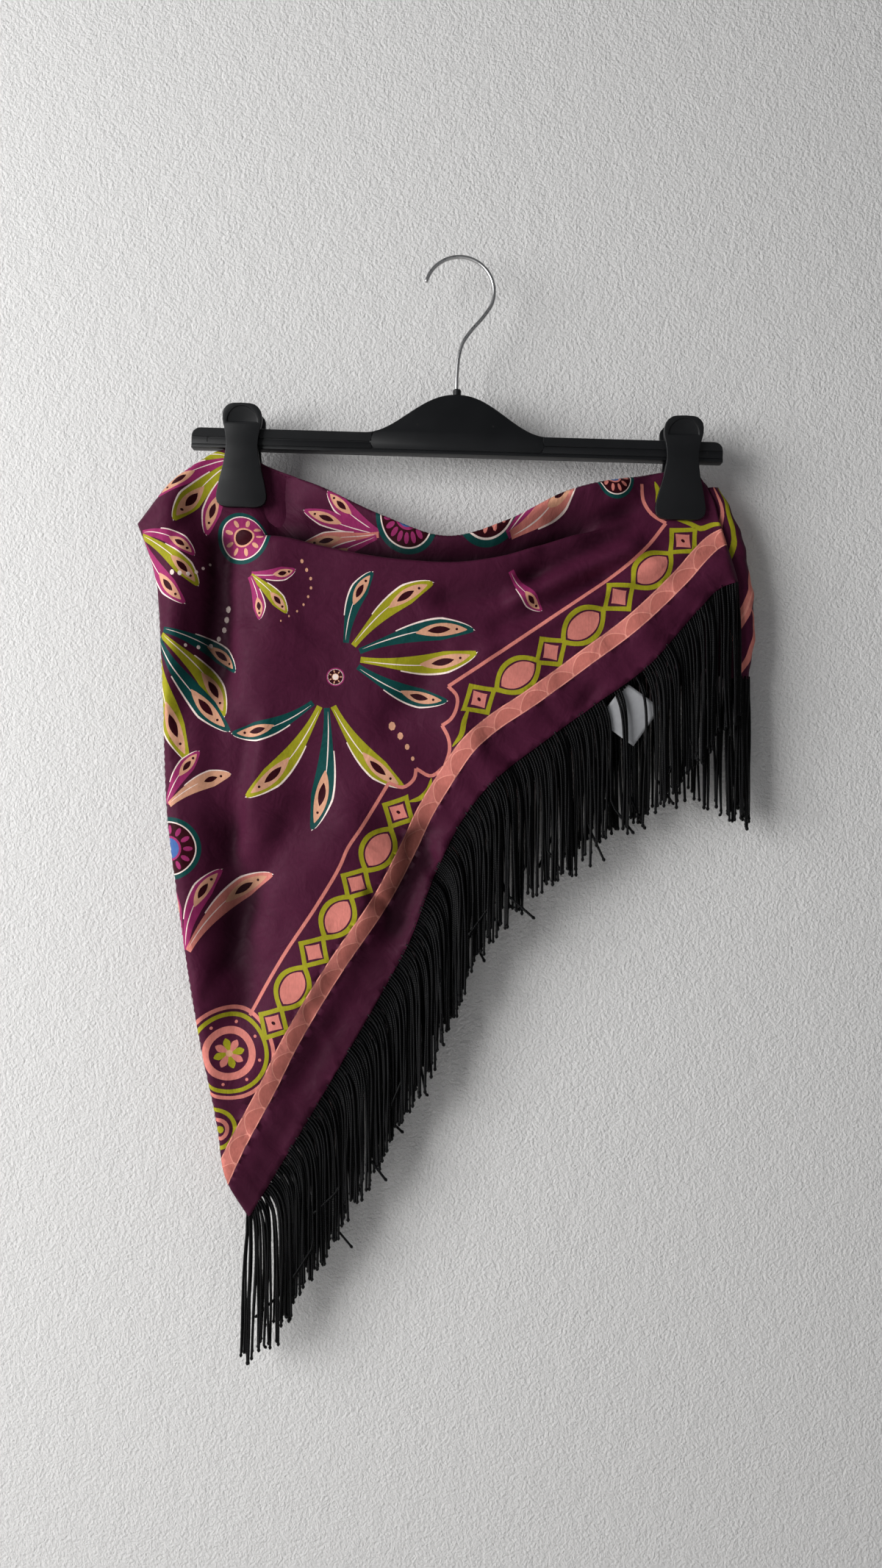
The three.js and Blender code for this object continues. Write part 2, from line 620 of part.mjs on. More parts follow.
function hook() {
  const { wire, bend, bendX, bendZ, tipAngle, neckAngle } = HOOK;
  const { sides, steps: count } = HOOK_FACETS;
  const bendPoints = Array.from({ length: 15 }, (_, i) => {
    const angle = degToRad(lerp(tipAngle, neckAngle, i / 14));
    return vector(bendX + bend * Math.cos(angle), 0, bendZ + bend * Math.sin(angle));
  });
  const path = new THREE.CatmullRomCurve3(
    [...bendPoints, ...HOOK_NECK.map(({ x, z }) => vector(x, 0, z))],
    false,
    "centripetal",
  );
  const section = new THREE.Shape(
    Array.from({ length: sides }, (_, i) => {
      const angle = (2 * Math.PI * i) / sides;
      return new THREE.Vector2((wire / 2) * Math.cos(angle), (wire / 2) * Math.sin(angle));
    }),
  );
  return new THREE.ExtrudeGeometry(section, { steps: count, extrudePath: path, bevelEnabled: false });
}

// ---------------------------------------------------------------- clips
// A jaw is its front outline cut from its bent side outline. Side is -1 in front, 1 behind.
const jawWidths = outline(JAW_OUTLINE.map(({ out, up }) => ({ x: out, z: up })));
const jawFace = outline(JAW_FACE.map(({ up, away }) => ({ x: away, z: up })));
const sideOutline = (near, far) => [
  ...jawFace.getPoints(12).map(({ x, z }) => ({ x: x + near, z })),
  ...jawFace.getPoints(12).reverse().map(({ x, z }) => ({ x: x + far, z })),
];
const sideways = (geometry, side) => geometry.rotateZ((side * Math.PI) / 2);

function jaw(side, mouldHole) {
  const half = jawWidths.getPoints(22);
  const front = slab([...half, ...half.slice(1, -1).reverse().map(({ x, z }) => ({ x: -x, z }))], 40);
  const bent = sideways(slab(sideOutline(0, JAW.plate), 60), side);
  const { halfWidth, floor, top } = THUMB_RECESS;
  const arc = Array.from({ length: 11 }, (_, i) => {
    const angle = (Math.PI * i) / 10;
    return { x: halfWidth * Math.cos(angle), z: floor + (top - floor) * Math.sin(angle) };
  });
  const skin = sideways(slab(sideOutline(JAW.plate - JAW.recessDeep, JAW.plate + 3), 60), side);
  const recess = solid(slab(arc, 60)).intersect(solid(skin));
  let body = solid(front).intersect(solid(bent)).subtract(recess);
  if (mouldHole) {
    const face = JAW.pinch + JAW.plate;
    const { out, up, radius, deep } = MOULD_HOLE;
    body = cut(body, [drill(out, side * face, up, radius, 2 * deep)]);
  }
  return geometryOf(body);
}

// A leaf spring resting on the bar and pressing the two heads apart, which shuts the feet.
function spring() {
  const { wall: leaf, width, crownRadius, legTop } = SPRING;
  const base = BAR.height / 2 + SEAM;
  const faceAt = (up) => lookup(JAW_FACE, "up", "away", up) - SEAM;
  const arc = Array.from({ length: 9 }, (_, i) => {
    const angle = Math.PI + (Math.PI * i) / 8;
    return { x: crownRadius * Math.cos(angle), z: base + crownRadius * (1 + Math.sin(angle)) };
  });
  const outer = [{ x: -faceAt(legTop), z: legTop }, ...arc, { x: faceAt(legTop), z: legTop }];
  const inner = outer.map(({ x, z }, i) => {
    const centre = { x: 0, z: base + crownRadius };
    const onLeg = i === 0 || i === outer.length - 1;
    const shrink = (crownRadius - leaf) / crownRadius;
    if (onLeg) return { x: x - Math.sign(x) * leaf, z };
    return { x: x * shrink, z: centre.z + (z - centre.z) * shrink };
  });
  return sideways(slab([...outer, ...inner.reverse()], width), 1);
}

const hanger = new THREE.Group();
hanger.position.set(0, 0, HANGER.middle);
hanger.rotation.y = degToRad(HANGER.tilt);
hanger.add(mesh("hanger_bar", hangerBar(), PLASTIC));
CLIPS.forEach(({ name, along, mouldHole }) => {
  const clip = new THREE.Group();
  clip.position.set(along, 0, 0);
  clip.add(
    mesh(`clip_${name}_front`, jaw(-1, mouldHole), PLASTIC),
    mesh(`clip_${name}_back`, jaw(1, false), PLASTIC),
    mesh(`clip_${name}_spring`, spring(), WIRE),
  );
  hanger.add(clip);
});

const collarMesh = mesh("hook_collar", collar(), PLASTIC);
collarMesh.position.set(HUMP.middle, 0, BAR.height / 2 + HUMP.rise + SEAM);
hanger.add(collarMesh);

const scarf = new THREE.Group();
scarf.add(...clothLayers, ...fringes, careLabel(), hanger, mesh("hook", hook(), WIRE));
scarf.position.set(-HOOK.bendX, 0, HOOK.wire / 2 - HOOK.bendZ - HOOK.bend);
export default scarf;
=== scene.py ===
"""A square printed satin scarf with a long corded fringe, folded over and hung from a clip hanger.

Sizes are in millimetres about the middle of the hanger, +X to the right, +Y to the back and +Z up, as a
maker would draw them. to_frame() turns them into the metres of the part's own frame, whose origin is the
inside top of the hook.
"""

from __future__ import annotations

import logging
import random
from dataclasses import dataclass, field
from enum import Enum
from math import atan2, cos, degrees, exp, hypot, pi, radians, sin, tan
from typing import Callable, Sequence

import bmesh
import bpy
import numpy as np
from bmesh.types import BMEdge, BMesh, BMVert
from bpy.types import Material, Mesh, Node, NodeSocket, NodeTree, Object
from mathutils import Matrix, Vector, kdtree
from mathutils.geometry import delaunay_2d_cdt

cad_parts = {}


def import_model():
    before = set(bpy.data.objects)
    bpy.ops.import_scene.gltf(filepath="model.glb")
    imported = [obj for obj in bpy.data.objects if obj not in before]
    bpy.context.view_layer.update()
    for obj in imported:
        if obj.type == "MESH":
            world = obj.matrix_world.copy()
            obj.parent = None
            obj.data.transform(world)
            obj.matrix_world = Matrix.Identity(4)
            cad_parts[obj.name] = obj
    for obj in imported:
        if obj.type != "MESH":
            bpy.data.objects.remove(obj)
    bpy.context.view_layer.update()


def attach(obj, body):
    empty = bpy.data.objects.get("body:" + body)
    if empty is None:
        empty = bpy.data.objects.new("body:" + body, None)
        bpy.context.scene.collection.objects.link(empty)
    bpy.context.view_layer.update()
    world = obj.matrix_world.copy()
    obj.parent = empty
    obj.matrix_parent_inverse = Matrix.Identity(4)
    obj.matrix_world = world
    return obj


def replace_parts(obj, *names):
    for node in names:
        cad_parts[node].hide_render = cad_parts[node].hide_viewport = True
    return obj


LOG = logging.getLogger("fringed_scarf")

MM = 0.001
HANG = (-1.5, 0.0, -2.1)
BODY = "root"
Row = tuple[float, ...]
Array = np.ndarray
Sockets = bpy.types.bpy_prop_collection


def to_frame(points: Array) -> Array:
    """Turns drawn millimetres into the frame's metres."""
    return (np.asarray(points, float) + np.array(HANG)) * MM


def ease(low: float, high: float, value: Array) -> Array:
    """Rises smoothly from 0 at low to 1 at high."""
    share = np.clip((value - low) / (high - low), 0.0, 1.0)
    return share * share * (3 - 2 * share)


def blend(a: Array, b: Array, share: Array) -> Array:
    """Mixes a and b by a share from 0 to 1."""
    return a + (b - a) * share


def norms(rows: Array) -> Array:
    """How long each row of x, z is."""
    return np.hypot(*rows.T)


def cross(a: Array, b: Array) -> Array:
    """The area between each row of a and the same row of b."""
    return a[:, 0] * b[:, 1] - a[:, 1] * b[:, 0]


def totals(steps: Array) -> Array:
    """Running totals of steps, from 0."""
    return np.concatenate([[0.0], np.cumsum(steps)])


def spun(angle: float, axis: str) -> Matrix:
    """A turn about an axis, in degrees."""
    return Matrix.Rotation(radians(angle), 4, axis)


def srgb(red: float, green: float, blue: float) -> Row:
    """Turns 0-255 display values into linear colour."""
    def one(c: float) -> float:
        """One channel."""
        c /= 255
        return c / 12.92 if c <= 0.04045 else ((c + 0.055) / 1.055) ** 2.4

    return one(red), one(green), one(blue)


# ---- the drawn cloth
HEM: list[Row] = [
    (-141.7, -650), (-94, -570.8), (-51.8, -498), (-33.5, -464), (-15.7, -418), (3, -380), (23.5, -354),
    (57.9, -327), (92.3, -302), (126.8, -277), (161, -239.5), (176.5, -223.5), (191, -218),
]
LEFT_LOWER: list[Row] = [
    (-141.7, -650), (-157.5, -623), (-163.5, -584), (-180, -492), (-188, -436), (-196, -370), (-199, -284),
    (-203, -228),
]
LEFT_UPPER: list[Row] = [(-203, -228), (-208, -204), (-217, -179)]
TOP_FOLD: list[Row] = [
    (-217, -179), (-194, -150), (-177, -137), (-162, -128.4), (-147, -127.6), (-134, -137), (-95, -153),
    (-50, -174), (-7, -187.7), (34, -176.7), (74, -157.3), (117, -147.3), (152, -142.5), (166, -147),
]
CREASE_LOWER: list[Row] = [(191, -218), (185, -198), (179.5, -180)]
CREASE_UPPER: list[Row] = [(179.5, -180), (174.5, -163), (166, -147)]
# x, z and how far the cloth tucks down behind its free fold there
TUCK_FOLD: list[Row] = [
    (-203, -228, 0), (-180, -215, 0), (-157, -199, 0), (-137, -187, 0), (-114, -189.5, 12), (-90, -195, 20),
    (-60, -201, 26), (-30, -204.5, 28), (0, -205.5, 28), (28, -202, 24), (57, -193.5, 16), (80, -186, 9),
    (104, -179, 0), (130, -176, 0), (179.5, -180, 0),
]
BACK_HEM: list[Row] = [
    (-141.7, -646), (-94, -564), (-51.8, -491), (-15.7, -411), (23.5, -347), (57.9, -320), (92.3, -297),
    (126.8, -277), (155, -270),
]
# height, outermost x, half width, half depth and middle depth of the corner turned round the right edge
CORNER_FOLD: list[Row] = [
    (-283, 200, 8, 4.4, 5.8), (-250, 204.2, 9.6, 4.8, 6), (-222, 202.4, 9.6, 4.8, 6),
    (-200, 198.4, 8.8, 4.6, 5.8), (-181, 193.8, 7.6, 4.2, 5.4), (-165, 185.8, 5.6, 3.2, 4.4),
    (-153, 178, 3.4, 2.2, 3.2),
]
CORNER_LIP = 150.0
# Folds: x0, z0, x1, z1, width, rise. Ridges rise and troughs fall.
FRONT_FOLDS: list[Row] = [
    (-191, -176, -187, -270, 13, 8), (-163, -190, -160, -290, 12, -9), (-126, -205, -132, -400, 22, 5),
    (-178, -320, -168, -490, 12, 5), (-152, -390, -144, -500, 14, -8), (-136, -560, -62, -444, 14, 5),
    (138, -172, 50, -214, 6.5, -6.5), (50, -216, -6, -225, 8, -4),
    (140, -186, 40, -230, 6.5, 6), (136, -198, 30, -248, 6.5, -5.5), (130, -208, 20, -266, 7, 4.5),
    (-18, -276, -42, -310, 12, -5), (-95, -372, -172, -468, 15, -4), (-60, -330, -120, -520, 24, 4),
    (-46, -384, -14, -418, 12, -5), (0, -320, 30, -352, 12, 4), (70, -276, 96, -300, 12, -3),
    (120, -248, 136, -268, 12, 3), (70, -178, 140, -163, 6, -5), (-22, -388, -44, -452, 9, -9),
    (-10, -398, -34, -470, 6, 3), (-176, -250, -186, -330, 10, -4), (-40, -440, -110, -560, 10, -3),
]
FRONT_CREASES: list[Row] = [
    (-159, -192, -163, -276, 8, -8), (-146, -190, -140, -240, 8, -3), (-131, -316, -146, -400, 7, 2.6),
    (-139, -320, -153, -402, 7, -3.6), (-116, -382, -157, -476, 8, -3), (-157, -476, -170, -500, 6, -2),
    (-30, -392, -12, -418, 5, -4), (-53, -436, -30, -416, 5, -3.4), (-62, -474, -44, -476, 3.5, -1.8),
    (-58, -452, -30, -448, 4, -1.8), (139, -160, 60, -196, 7, -5), (96, -160, 40, -186, 6, -3.4),
    (30, -227, -10, -232, 6, -3), (60, -236, 0, -262, 5, 2), (96, -214, 30, -262, 7, -2.2),
    (-112, -168, -50, -188, 7, -3.5), (-150, -150, -176, -168, 6, -3), (-186, -158, -206, -188, 5, 2.2),
    (-170, -152, -192, -196, 5, -3), (-178, -560, -146, -590, 6, -2), (-150, -574, -126, -592, 5, -2),
    (60, -303, 82, -318, 6, -2.4), (22, -330, 40, -344, 5, -2.2), (150, -226, 168, -236, 6, 1.8),
    (-2, -352, 12, -372, 7, 2.4), (-20, -392, -8, -410, 5, 2), (178, -196, 150, -214, 7, -2.4),
    (-84, -520, -104, -552, 6, -2), (-96, -500, -86, -536, 5, 1.8), (94, -290, 82, -305, 3, -3),
    (-190, -330, -182, -450, 8, 2.4), (-120, -600, -112, -580, 4, -1.6), (-58, -428, -44, -446, 3.5, -5),
    (-98, -508, -84, -486, 6, -5), (-66, -500, -48, -498, 3, -1.6), (-112, -560, -92, -556, 3.4, -1.6),
]
BACK_FOLDS: list[Row] = [
    (-150, -185, -150, -420, 22, 6), (130, -190, -20, -300, 18, 6), (-120, -190, 20, -280, 16, -4),
    (-60, -300, -100, -540, 22, 5),
]
BACK_CREASES: list[Row] = [
    (-160, -190, -140, -330, 9, -3), (120, -180, 20, -250, 7, -2.4), (90, -220, -30, -330, 8, 2),
    (-110, -330, -150, -470, 9, -2.4), (-20, -330, -70, -460, 8, -2), (-130, -150, -60, -215, 7, 1.8),
    (40, -300, 80, -312, 6, -1.5),
]
# how far beyond a clip the cloth is held flat, and how soon it opens out after that
CLAMP_BESIDE, CLAMP_BELOW, SLACK_REACH = 3.0, 5.0, 24.0
# how far the top fold hangs forward, how soon beside a clip, and how tall it is
TOP_ROLL, TOP_ROLL_REACH, TOP_ROLL_TALL = 7.0, 40.0, 13.0
# the same for the left side's fold, with the heights between which it starts and ends
SIDE_ROLL, SIDE_ROLL_WIDE = 6.0, 15.0
SIDE_ROLL_START, SIDE_ROLL_END = (-225.0, -290.0), (-520.0, -610.0)
# slow waves in the cloth: length, heading, height
WAVES: list[Row] = [(47, 0.3, 0.34), (33, 1.4, 0.26), (61, 2.3, 0.4), (24, 0.9, 0.14), (18, 2.0, 0.1)]
CLIP_ALONG = (-145.0, 152.0)
HANGER_MIDDLE, HANGER_TILT = -125.3, 1.65
JAW_FOOT, JAW_BOTTOM = 17.0, -46.8
# the net, the trial step, the longest step and the rounds of the search for a place on the cloth
SEARCH_NET, SEARCH_TRIAL, SEARCH_STRIDE, SEARCH_ROUNDS = 150, 1e-4, 0.02, 8
# the net on which the tuck's path is measured, and the window that evens its length out
PATH_COLUMNS, PATH_STEPS, PATH_WINDOW = 140, 161, 27


class Outline:
    """A smooth line through drawn points, read by the share of its length."""

    def __init__(self, rows: Sequence[Row]) -> None:
        """Runs a centripetal spline through the first two columns of the rows."""
        knots = np.array([row[:2] for row in rows], float)
        ends = [2 * knots[0] - knots[1], *knots, 2 * knots[-1] - knots[-2]]
        share = np.linspace(0, 1, 60, endpoint=False)[:, None]
        pieces = [self._stretch(*ends[i:i + 4], share) for i in range(len(knots) - 1)]
        self.points = np.vstack([*pieces, knots[-1:]])
        self.run = totals(norms(np.diff(self.points, axis=0)))
        self.length = float(self.run[-1])

    @staticmethod
    def _stretch(a: Array, b: Array, c: Array, d: Array, t: Array) -> Array:
        """The spline between b and c.

        Args:
            a, b, c, d: the knot before, the stretch's two ends and the knot after.
            t: shares of the stretch, as a column.

        Returns:
            The points at those shares.
        """
        before, here, after = (max(np.hypot(*(q - p)), 1e-6) ** 0.5 for p, q in ((a, b), (b, c), (c, d)))
        start = ((b - a) / before - (c - a) / (before + here) + (c - b) / here) * here
        end = ((c - b) / here - (d - b) / (here + after) + (d - c) / after) * here
        return b + start * t + (3 * (c - b) - 2 * start - end) * t**2 + (2 * (b - c) + start + end) * t**3

    def at(self, share: Array) -> Array:
        """The points at shares of the line's length, as rows of x, z."""
        run = np.asarray(share, float) * self.length
        return np.column_stack([np.interp(run, self.run, self.points[:, i]) for i in (0, 1)])

    def normals(self, share: Array) -> Array:
        """The way to the left of the line at shares of its length."""
        share = np.asarray(share, float)
        along = self.at(np.minimum(share + 0.003, 1)) - self.at(np.maximum(share - 0.003, 0))
        along /= norms(along)[:, None]
        return np.column_stack([-along[:, 1], along[:, 0]])


@dataclass(frozen=True)
class Patch:
    """A surface stretched between four outlines, drawn flat."""

    bottom: Outline
    top: Outline
    left: Outline
    right: Outline

    def at(self, s: Array, t: Array) -> Array:
        """The drawn points at s across and t up, as rows of x, z."""
        b, u, lft, r = self.bottom.at(s), self.top.at(s), self.left.at(t), self.right.at(t)
        ends = np.array([0.0, 1.0])
        (b0, b1), (u0, u1) = self.bottom.at(ends), self.top.at(ends)
        s, t = s[:, None], t[:, None]
        corners = (1 - s) * (1 - t) * b0 + s * (1 - t) * b1 + (1 - s) * t * u0 + s * t * u1
        return (1 - t) * b + t * u + (1 - s) * lft + s * r - corners


def fold_height(folds: Sequence[Row], x: Array, z: Array) -> Array:
    """How far soft ridges and troughs lift the cloth.

    Args:
        folds: rows of x0, z0, x1, z1, width, rise.
        x, z: the drawn points.

    Returns:
        The sum of the rises at each point.
    """
    total = np.zeros_like(x)
    for x0, z0, x1, z1, width, rise in folds:
        length = hypot(x1 - x0, z1 - z0)
        along = ((x - x0) * (x1 - x0) + (z - z0) * (z1 - z0)) / length
        across = ((x - x0) * (z1 - z0) - (z - z0) * (x1 - x0)) / length
        beyond = np.maximum(0, np.maximum(-along, along - length))
        total += rise * np.exp(-((across / width) ** 2) - (beyond / (1.3 * width)) ** 2)
    return total


def slack(x: Array, z: Array) -> Array:
    """How far the cloth has opened out below and beside the clips, 0 to 1."""
    reaches = []
    for along in CLIP_ALONG:
        bar = HANGER_MIDDLE - along * tan(radians(HANGER_TILT))
        beside = np.maximum(np.abs(x - along) - JAW_FOOT - CLAMP_BESIDE, 0)
        below = np.maximum(bar + JAW_BOTTOM - CLAMP_BELOW - z, 0)
        reaches.append(np.hypot(beside, below))
    return ease(0, SLACK_REACH, np.minimum(*reaches))


def lean(x: Array, z: Array) -> Array:
    """How far the fold at the top, and the one down the left side, hang forward of the middle."""
    top_x, top_z = np.array(TOP_FOLD).T
    left_x, left_z = np.array([*LEFT_LOWER, *LEFT_UPPER[1:]]).T
    free = np.minimum(x - CLIP_ALONG[0], CLIP_ALONG[1] - x) - JAW_FOOT - CLAMP_BESIDE
    below = (np.interp(x, top_x, top_z) - z) / TOP_ROLL_TALL
    top = TOP_ROLL * ease(0, TOP_ROLL_REACH, free) * np.exp(-(below**2))
    side = ease(*SIDE_ROLL_START, z) * (1 - ease(*SIDE_ROLL_END, z))
    beside = (x - np.interp(z, left_z, left_x)) / SIDE_ROLL_WIDE
    return top + SIDE_ROLL * side * np.exp(-(beside**2))


def ripple(x: Array, z: Array) -> Array:
    """The cloth's slow unevenness, about half a millimetre."""
    total = np.zeros_like(x)
    for length, heading, height in WAVES:
        along = x * cos(heading) + z * sin(heading)
        total += height * np.sin(along * 2 * pi / length + 3 * heading)
    return total


@dataclass
class Layer:
    """One hanging layer of the cloth, which can be drawn unrolled and as it hangs."""

    clamped: float = 2.0
    seam_half: float = 0.06
    least_roll: float = 2.0
    roll_share: float = 0.8

    def unrolled(self, s: Array, v: Array) -> Array:
        """Where a place on the cloth lies when its tuck is pulled out flat."""
        raise NotImplementedError

    def point(self, s: Array, v: Array) -> Array:
        """Where a place on the cloth hangs, as rows of x, y, z."""
        raise NotImplementedError

    def painted_shade(self, s: Array, v: Array) -> Array:
        """How much painted shade darkens a place for lying deep in a fold, 0 to 1."""
        return 0 * s

    def depth(self, full: Array, inside: Array) -> Array:
        """The depth of a layer that turns over at its edges.

        Args:
            full: the depth away from the edges.
            inside: how far each point lies inside the nearest turned edge.

        Returns:
            The depth, rounded down to the seam at the edge.
        """
        radius = np.maximum(self.least_roll, self.roll_share * np.abs(full))
        turn = np.sqrt(1 - (1 - np.clip(inside / radius, 0, 1)) ** 2)
        return self.seam_half + (full - self.seam_half) * turn

    def locate(self, targets: Array) -> tuple[Array, Array]:
        """Finds the places on the cloth that lie at points of the unrolled drawing.

        Args:
            targets: rows of unrolled x, z.

        Returns:
            The shares across and up.
        """
        grid = np.linspace(0, 1, SEARCH_NET)
        gs, gv = (a.ravel() for a in np.meshgrid(grid, grid, indexing="ij"))
        drawn = self.unrolled(gs, gv)
        tree = kdtree.KDTree(len(drawn))
        for i, (x, z) in enumerate(drawn):
            tree.insert((x, z, 0), i)
        tree.balance()
        near = np.array([tree.find((x, z, 0))[1] for x, z in targets])
        s, v = gs[near], gv[near]
        best_s, best_v, best = s.copy(), v.copy(), norms(self.unrolled(s, v) - targets)
        for _ in range(SEARCH_ROUNDS):
            here = self.unrolled(s, v)
            ds, dv = (np.where(a + SEARCH_TRIAL > 1, -SEARCH_TRIAL, SEARCH_TRIAL) for a in (s, v))
            a = (self.unrolled(s + ds, v) - here) / ds[:, None]
            b = (self.unrolled(s, v + dv) - here) / dv[:, None]
            gap, area = targets - here, cross(a, b)
            area = np.where(np.abs(area) < 1e-6, 1e-6, area)
            s = np.clip(s + np.clip(cross(gap, b) / area, -SEARCH_STRIDE, SEARCH_STRIDE), 0, 1)
            v = np.clip(v + np.clip(cross(a, gap) / area, -SEARCH_STRIDE, SEARCH_STRIDE), 0, 1)
            miss = norms(self.unrolled(s, v) - targets)
            better = miss < best
            best_s[better], best_v[better], best[better] = s[better], v[better], miss[better]
        return best_s, best_v


@dataclass
class FrontLayer(Layer):
    """The front: from the hem up to the free fold, down behind it, and up to the sagging top edge."""

    lower_share: float = 0.55
    upper_share: float = 0.82
    turn_front: float = 3.0
    turn_back: float = 0.6
    open_at: float = 10.0
    start: float = 5.0
    climb: float = 6.0
    end: float = 8.0
    lip: float = 5.0
    lip_reach: float = 18.0
    pocket: float = 6.0
    pocket_reach: float = 12.0
    level: float = 9.0
    hem_level: float = 6.0
    low_hem_level: float = 1.5
    hem_turn: Row = (0.42, 0.6)
    hem_reach: float = 0.14
    deepest: Row = (-5.5, -4.0)
    # the hem's small waves: height, waves along it, slower waves, slant, how soon they fade
    hem_wave: Row = (0.6, 47, 37, 30, 14)
    # shade: above the free fold, in troughs, on the turned lower hem
    shade_reach: float = 13.0
    pocket_span: Row = (0.5, 4)
    trough_shade: float = 0.8
    trough_span: Row = (1.2, 11)
    turned_shade: float = 0.42
    turned_ends: Row = (0.44, 0.6)
    turned_strip: Row = (0.04, 0.085)
    # where each stage of the path over the tuck starts, and how much of the path it takes
    stages: tuple[Row, ...] = ((0.1, 0.3), (0.4, 0.2), (0.6, 0.25), (0.85, 0.15))

    def __post_init__(self) -> None:
        """Draws the outlines and measures the tuck's path."""
        fold = Outline(TUCK_FOLD)
        self.lower = Patch(Outline(HEM), fold, Outline(LEFT_LOWER), Outline(CREASE_LOWER))
        self.upper = Patch(fold, Outline(TOP_FOLD), Outline(LEFT_UPPER), Outline(CREASE_UPPER))
        table = np.array(TUCK_FOLD, float)
        self.table_x, self.table_z, self.table_tuck = table.T
        self.path_x = np.linspace(table[0, 0], table[-1, 0], PATH_COLUMNS)
        self.path_e = np.linspace(0, 1, PATH_STEPS)
        columns, ends = [], []
        for x in self.path_x:
            up, back = self.tuck_step(self.path_e, np.full_like(self.path_e, x))
            columns.append(totals(np.hypot(np.diff(up), np.diff(back))))
            ends.append(up[-1])
        runs, window = np.array(columns), np.hanning(PATH_WINDOW)
        whole = runs[:, -1]
        calm = self.calmed(whole, window)
        self.path_run = runs * (calm / whole)[:, None]
        self.path_spare = calm - self.start - self.calmed(np.array(ends), window)

    @staticmethod
    def calmed(values: Array, window: Array) -> Array:
        """Evens out a row of values with a sliding window."""
        pad = len(window) // 2
        return np.convolve(np.pad(values, pad, mode="edge"), window / window.sum(), mode="valid")

    def spare(self, x: Array) -> Array:
        """How much more cloth than height there is between the front face and the top edge at x."""
        return np.interp(x, self.path_x, self.path_spare)

    def tuck(self, x: Array) -> Array:
        """How deep the tuck is at x."""
        return np.interp(x, self.table_x, self.table_tuck)

    def tuck_step(self, e: Array, x: Array) -> tuple[Array, Array]:
        """The path over the tuck.

        Args:
            e: shares of the path, 0 below the free fold and 1 above the tuck.
            x: where the column lies along the fold.

        Returns:
            How far up the cloth from the fold, and how far behind the front face.
        """
        r, q = self.turn_front, self.turn_back
        deep = np.maximum(self.tuck(x), self.open_at)
        opened = ease(0, self.open_at, self.tuck(x))
        over, down, under, out = ((e - start) / share for start, share in self.stages)
        over, under = (np.clip(turn, 0, 1) * pi for turn in (over, under))
        stages = [e < start for start, _ in self.stages]
        up = np.select(stages, [
            blend(-self.start, -r, e / self.stages[0][0]), -r + r * np.sin(over), blend(-r, q - deep, down),
            q - deep - q * np.sin(under),
        ], blend(q - deep, self.end - deep, out))
        back = np.select(stages, [
            0 * e, r - r * np.cos(over), 2 * r + 0 * e, 2 * r + q - q * np.cos(under),
        ], 2 * r + 2 * q + 0 * e)
        return blend(blend(-self.start, self.climb, e), up, opened), back * opened

    def run(self, e: Array, x: Array) -> Array:
        """The length of cloth from the tuck's start to the share e of its path."""
        i = np.clip((x - self.path_x[0]) / (self.path_x[1] - self.path_x[0]), 0, len(self.path_x) - 1.001)
        j = np.clip(e * (len(self.path_e) - 1), 0, len(self.path_e) - 1.001)
        i0, j0 = i.astype(int), j.astype(int)
        fi, fj = i - i0, j - j0
        table = self.path_run
        low = blend(table[i0, j0], table[i0 + 1, j0], fi)
        return blend(low, blend(table[i0, j0 + 1], table[i0 + 1, j0 + 1], fi), fj)

    def plane(self, s: Array, v: Array) -> tuple[Array, Array, Array]:
        """The layer seen from the front.

        Args:
            s, v: shares across and up.

        Returns:
            Rows of x, z, how far the tuck sets each back, and the same rows pulled out flat.
        """
        one = np.ones_like(s)
        fold = self.lower.at(s, one)
        upward = fold - self.lower.at(s, 0.97 * one)
        upward /= norms(upward)[:, None]
        x = fold[:, 0]
        t = np.clip(v / self.lower_share, 0, 1)
        low = self.lower.at(s, t) - upward * (self.start * t**4)[:, None]
        e = np.clip((v - self.lower_share) / (self.upper_share - self.lower_share), 0, 1)
        up, back = self.tuck_step(e, x)
        mid = fold + upward * up[:, None]
        mid_flat = fold + upward * (self.run(e, x) - self.start)[:, None]
        t = np.clip((v - self.upper_share) / (1 - self.upper_share), 0, 1)
        last_up, last_back = self.tuck_step(one, x)
        join = (1 - t) ** 2
        high = self.upper.at(s, t) + upward * (last_up * join)[:, None]
        spare = blend(self.spare(x), self.run(one, x) - self.start, join)
        high_flat = self.upper.at(s, t) + upward * spare[:, None]
        is_low, is_mid = (v < self.lower_share)[:, None], (v < self.upper_share)[:, None]
        seen = np.where(is_low, low, np.where(is_mid, mid, high))
        flat = np.where(is_low, low, np.where(is_mid, mid_flat, high_flat))
        setback = np.where(v < self.lower_share, 0, np.where(v < self.upper_share, back, last_back))
        return seen, setback, flat

    def unrolled(self, s: Array, v: Array) -> Array:
        """Where a place on the cloth lies when its tuck is pulled out flat."""
        return self.plane(s, v)[2]

    def above(self, points: Array) -> Array:
        """Moves points drawn above the free fold to where they lie with the tuck pulled out."""
        return np.column_stack([points[:, 0], points[:, 1] + self.spare(points[:, 0])])

    def rise(self, x: Array, z: Array) -> Array:
        """How far the folds lift the front."""
        return fold_height(FRONT_FOLDS, x, z) + fold_height(FRONT_CREASES, x, z) + ripple(x, z)

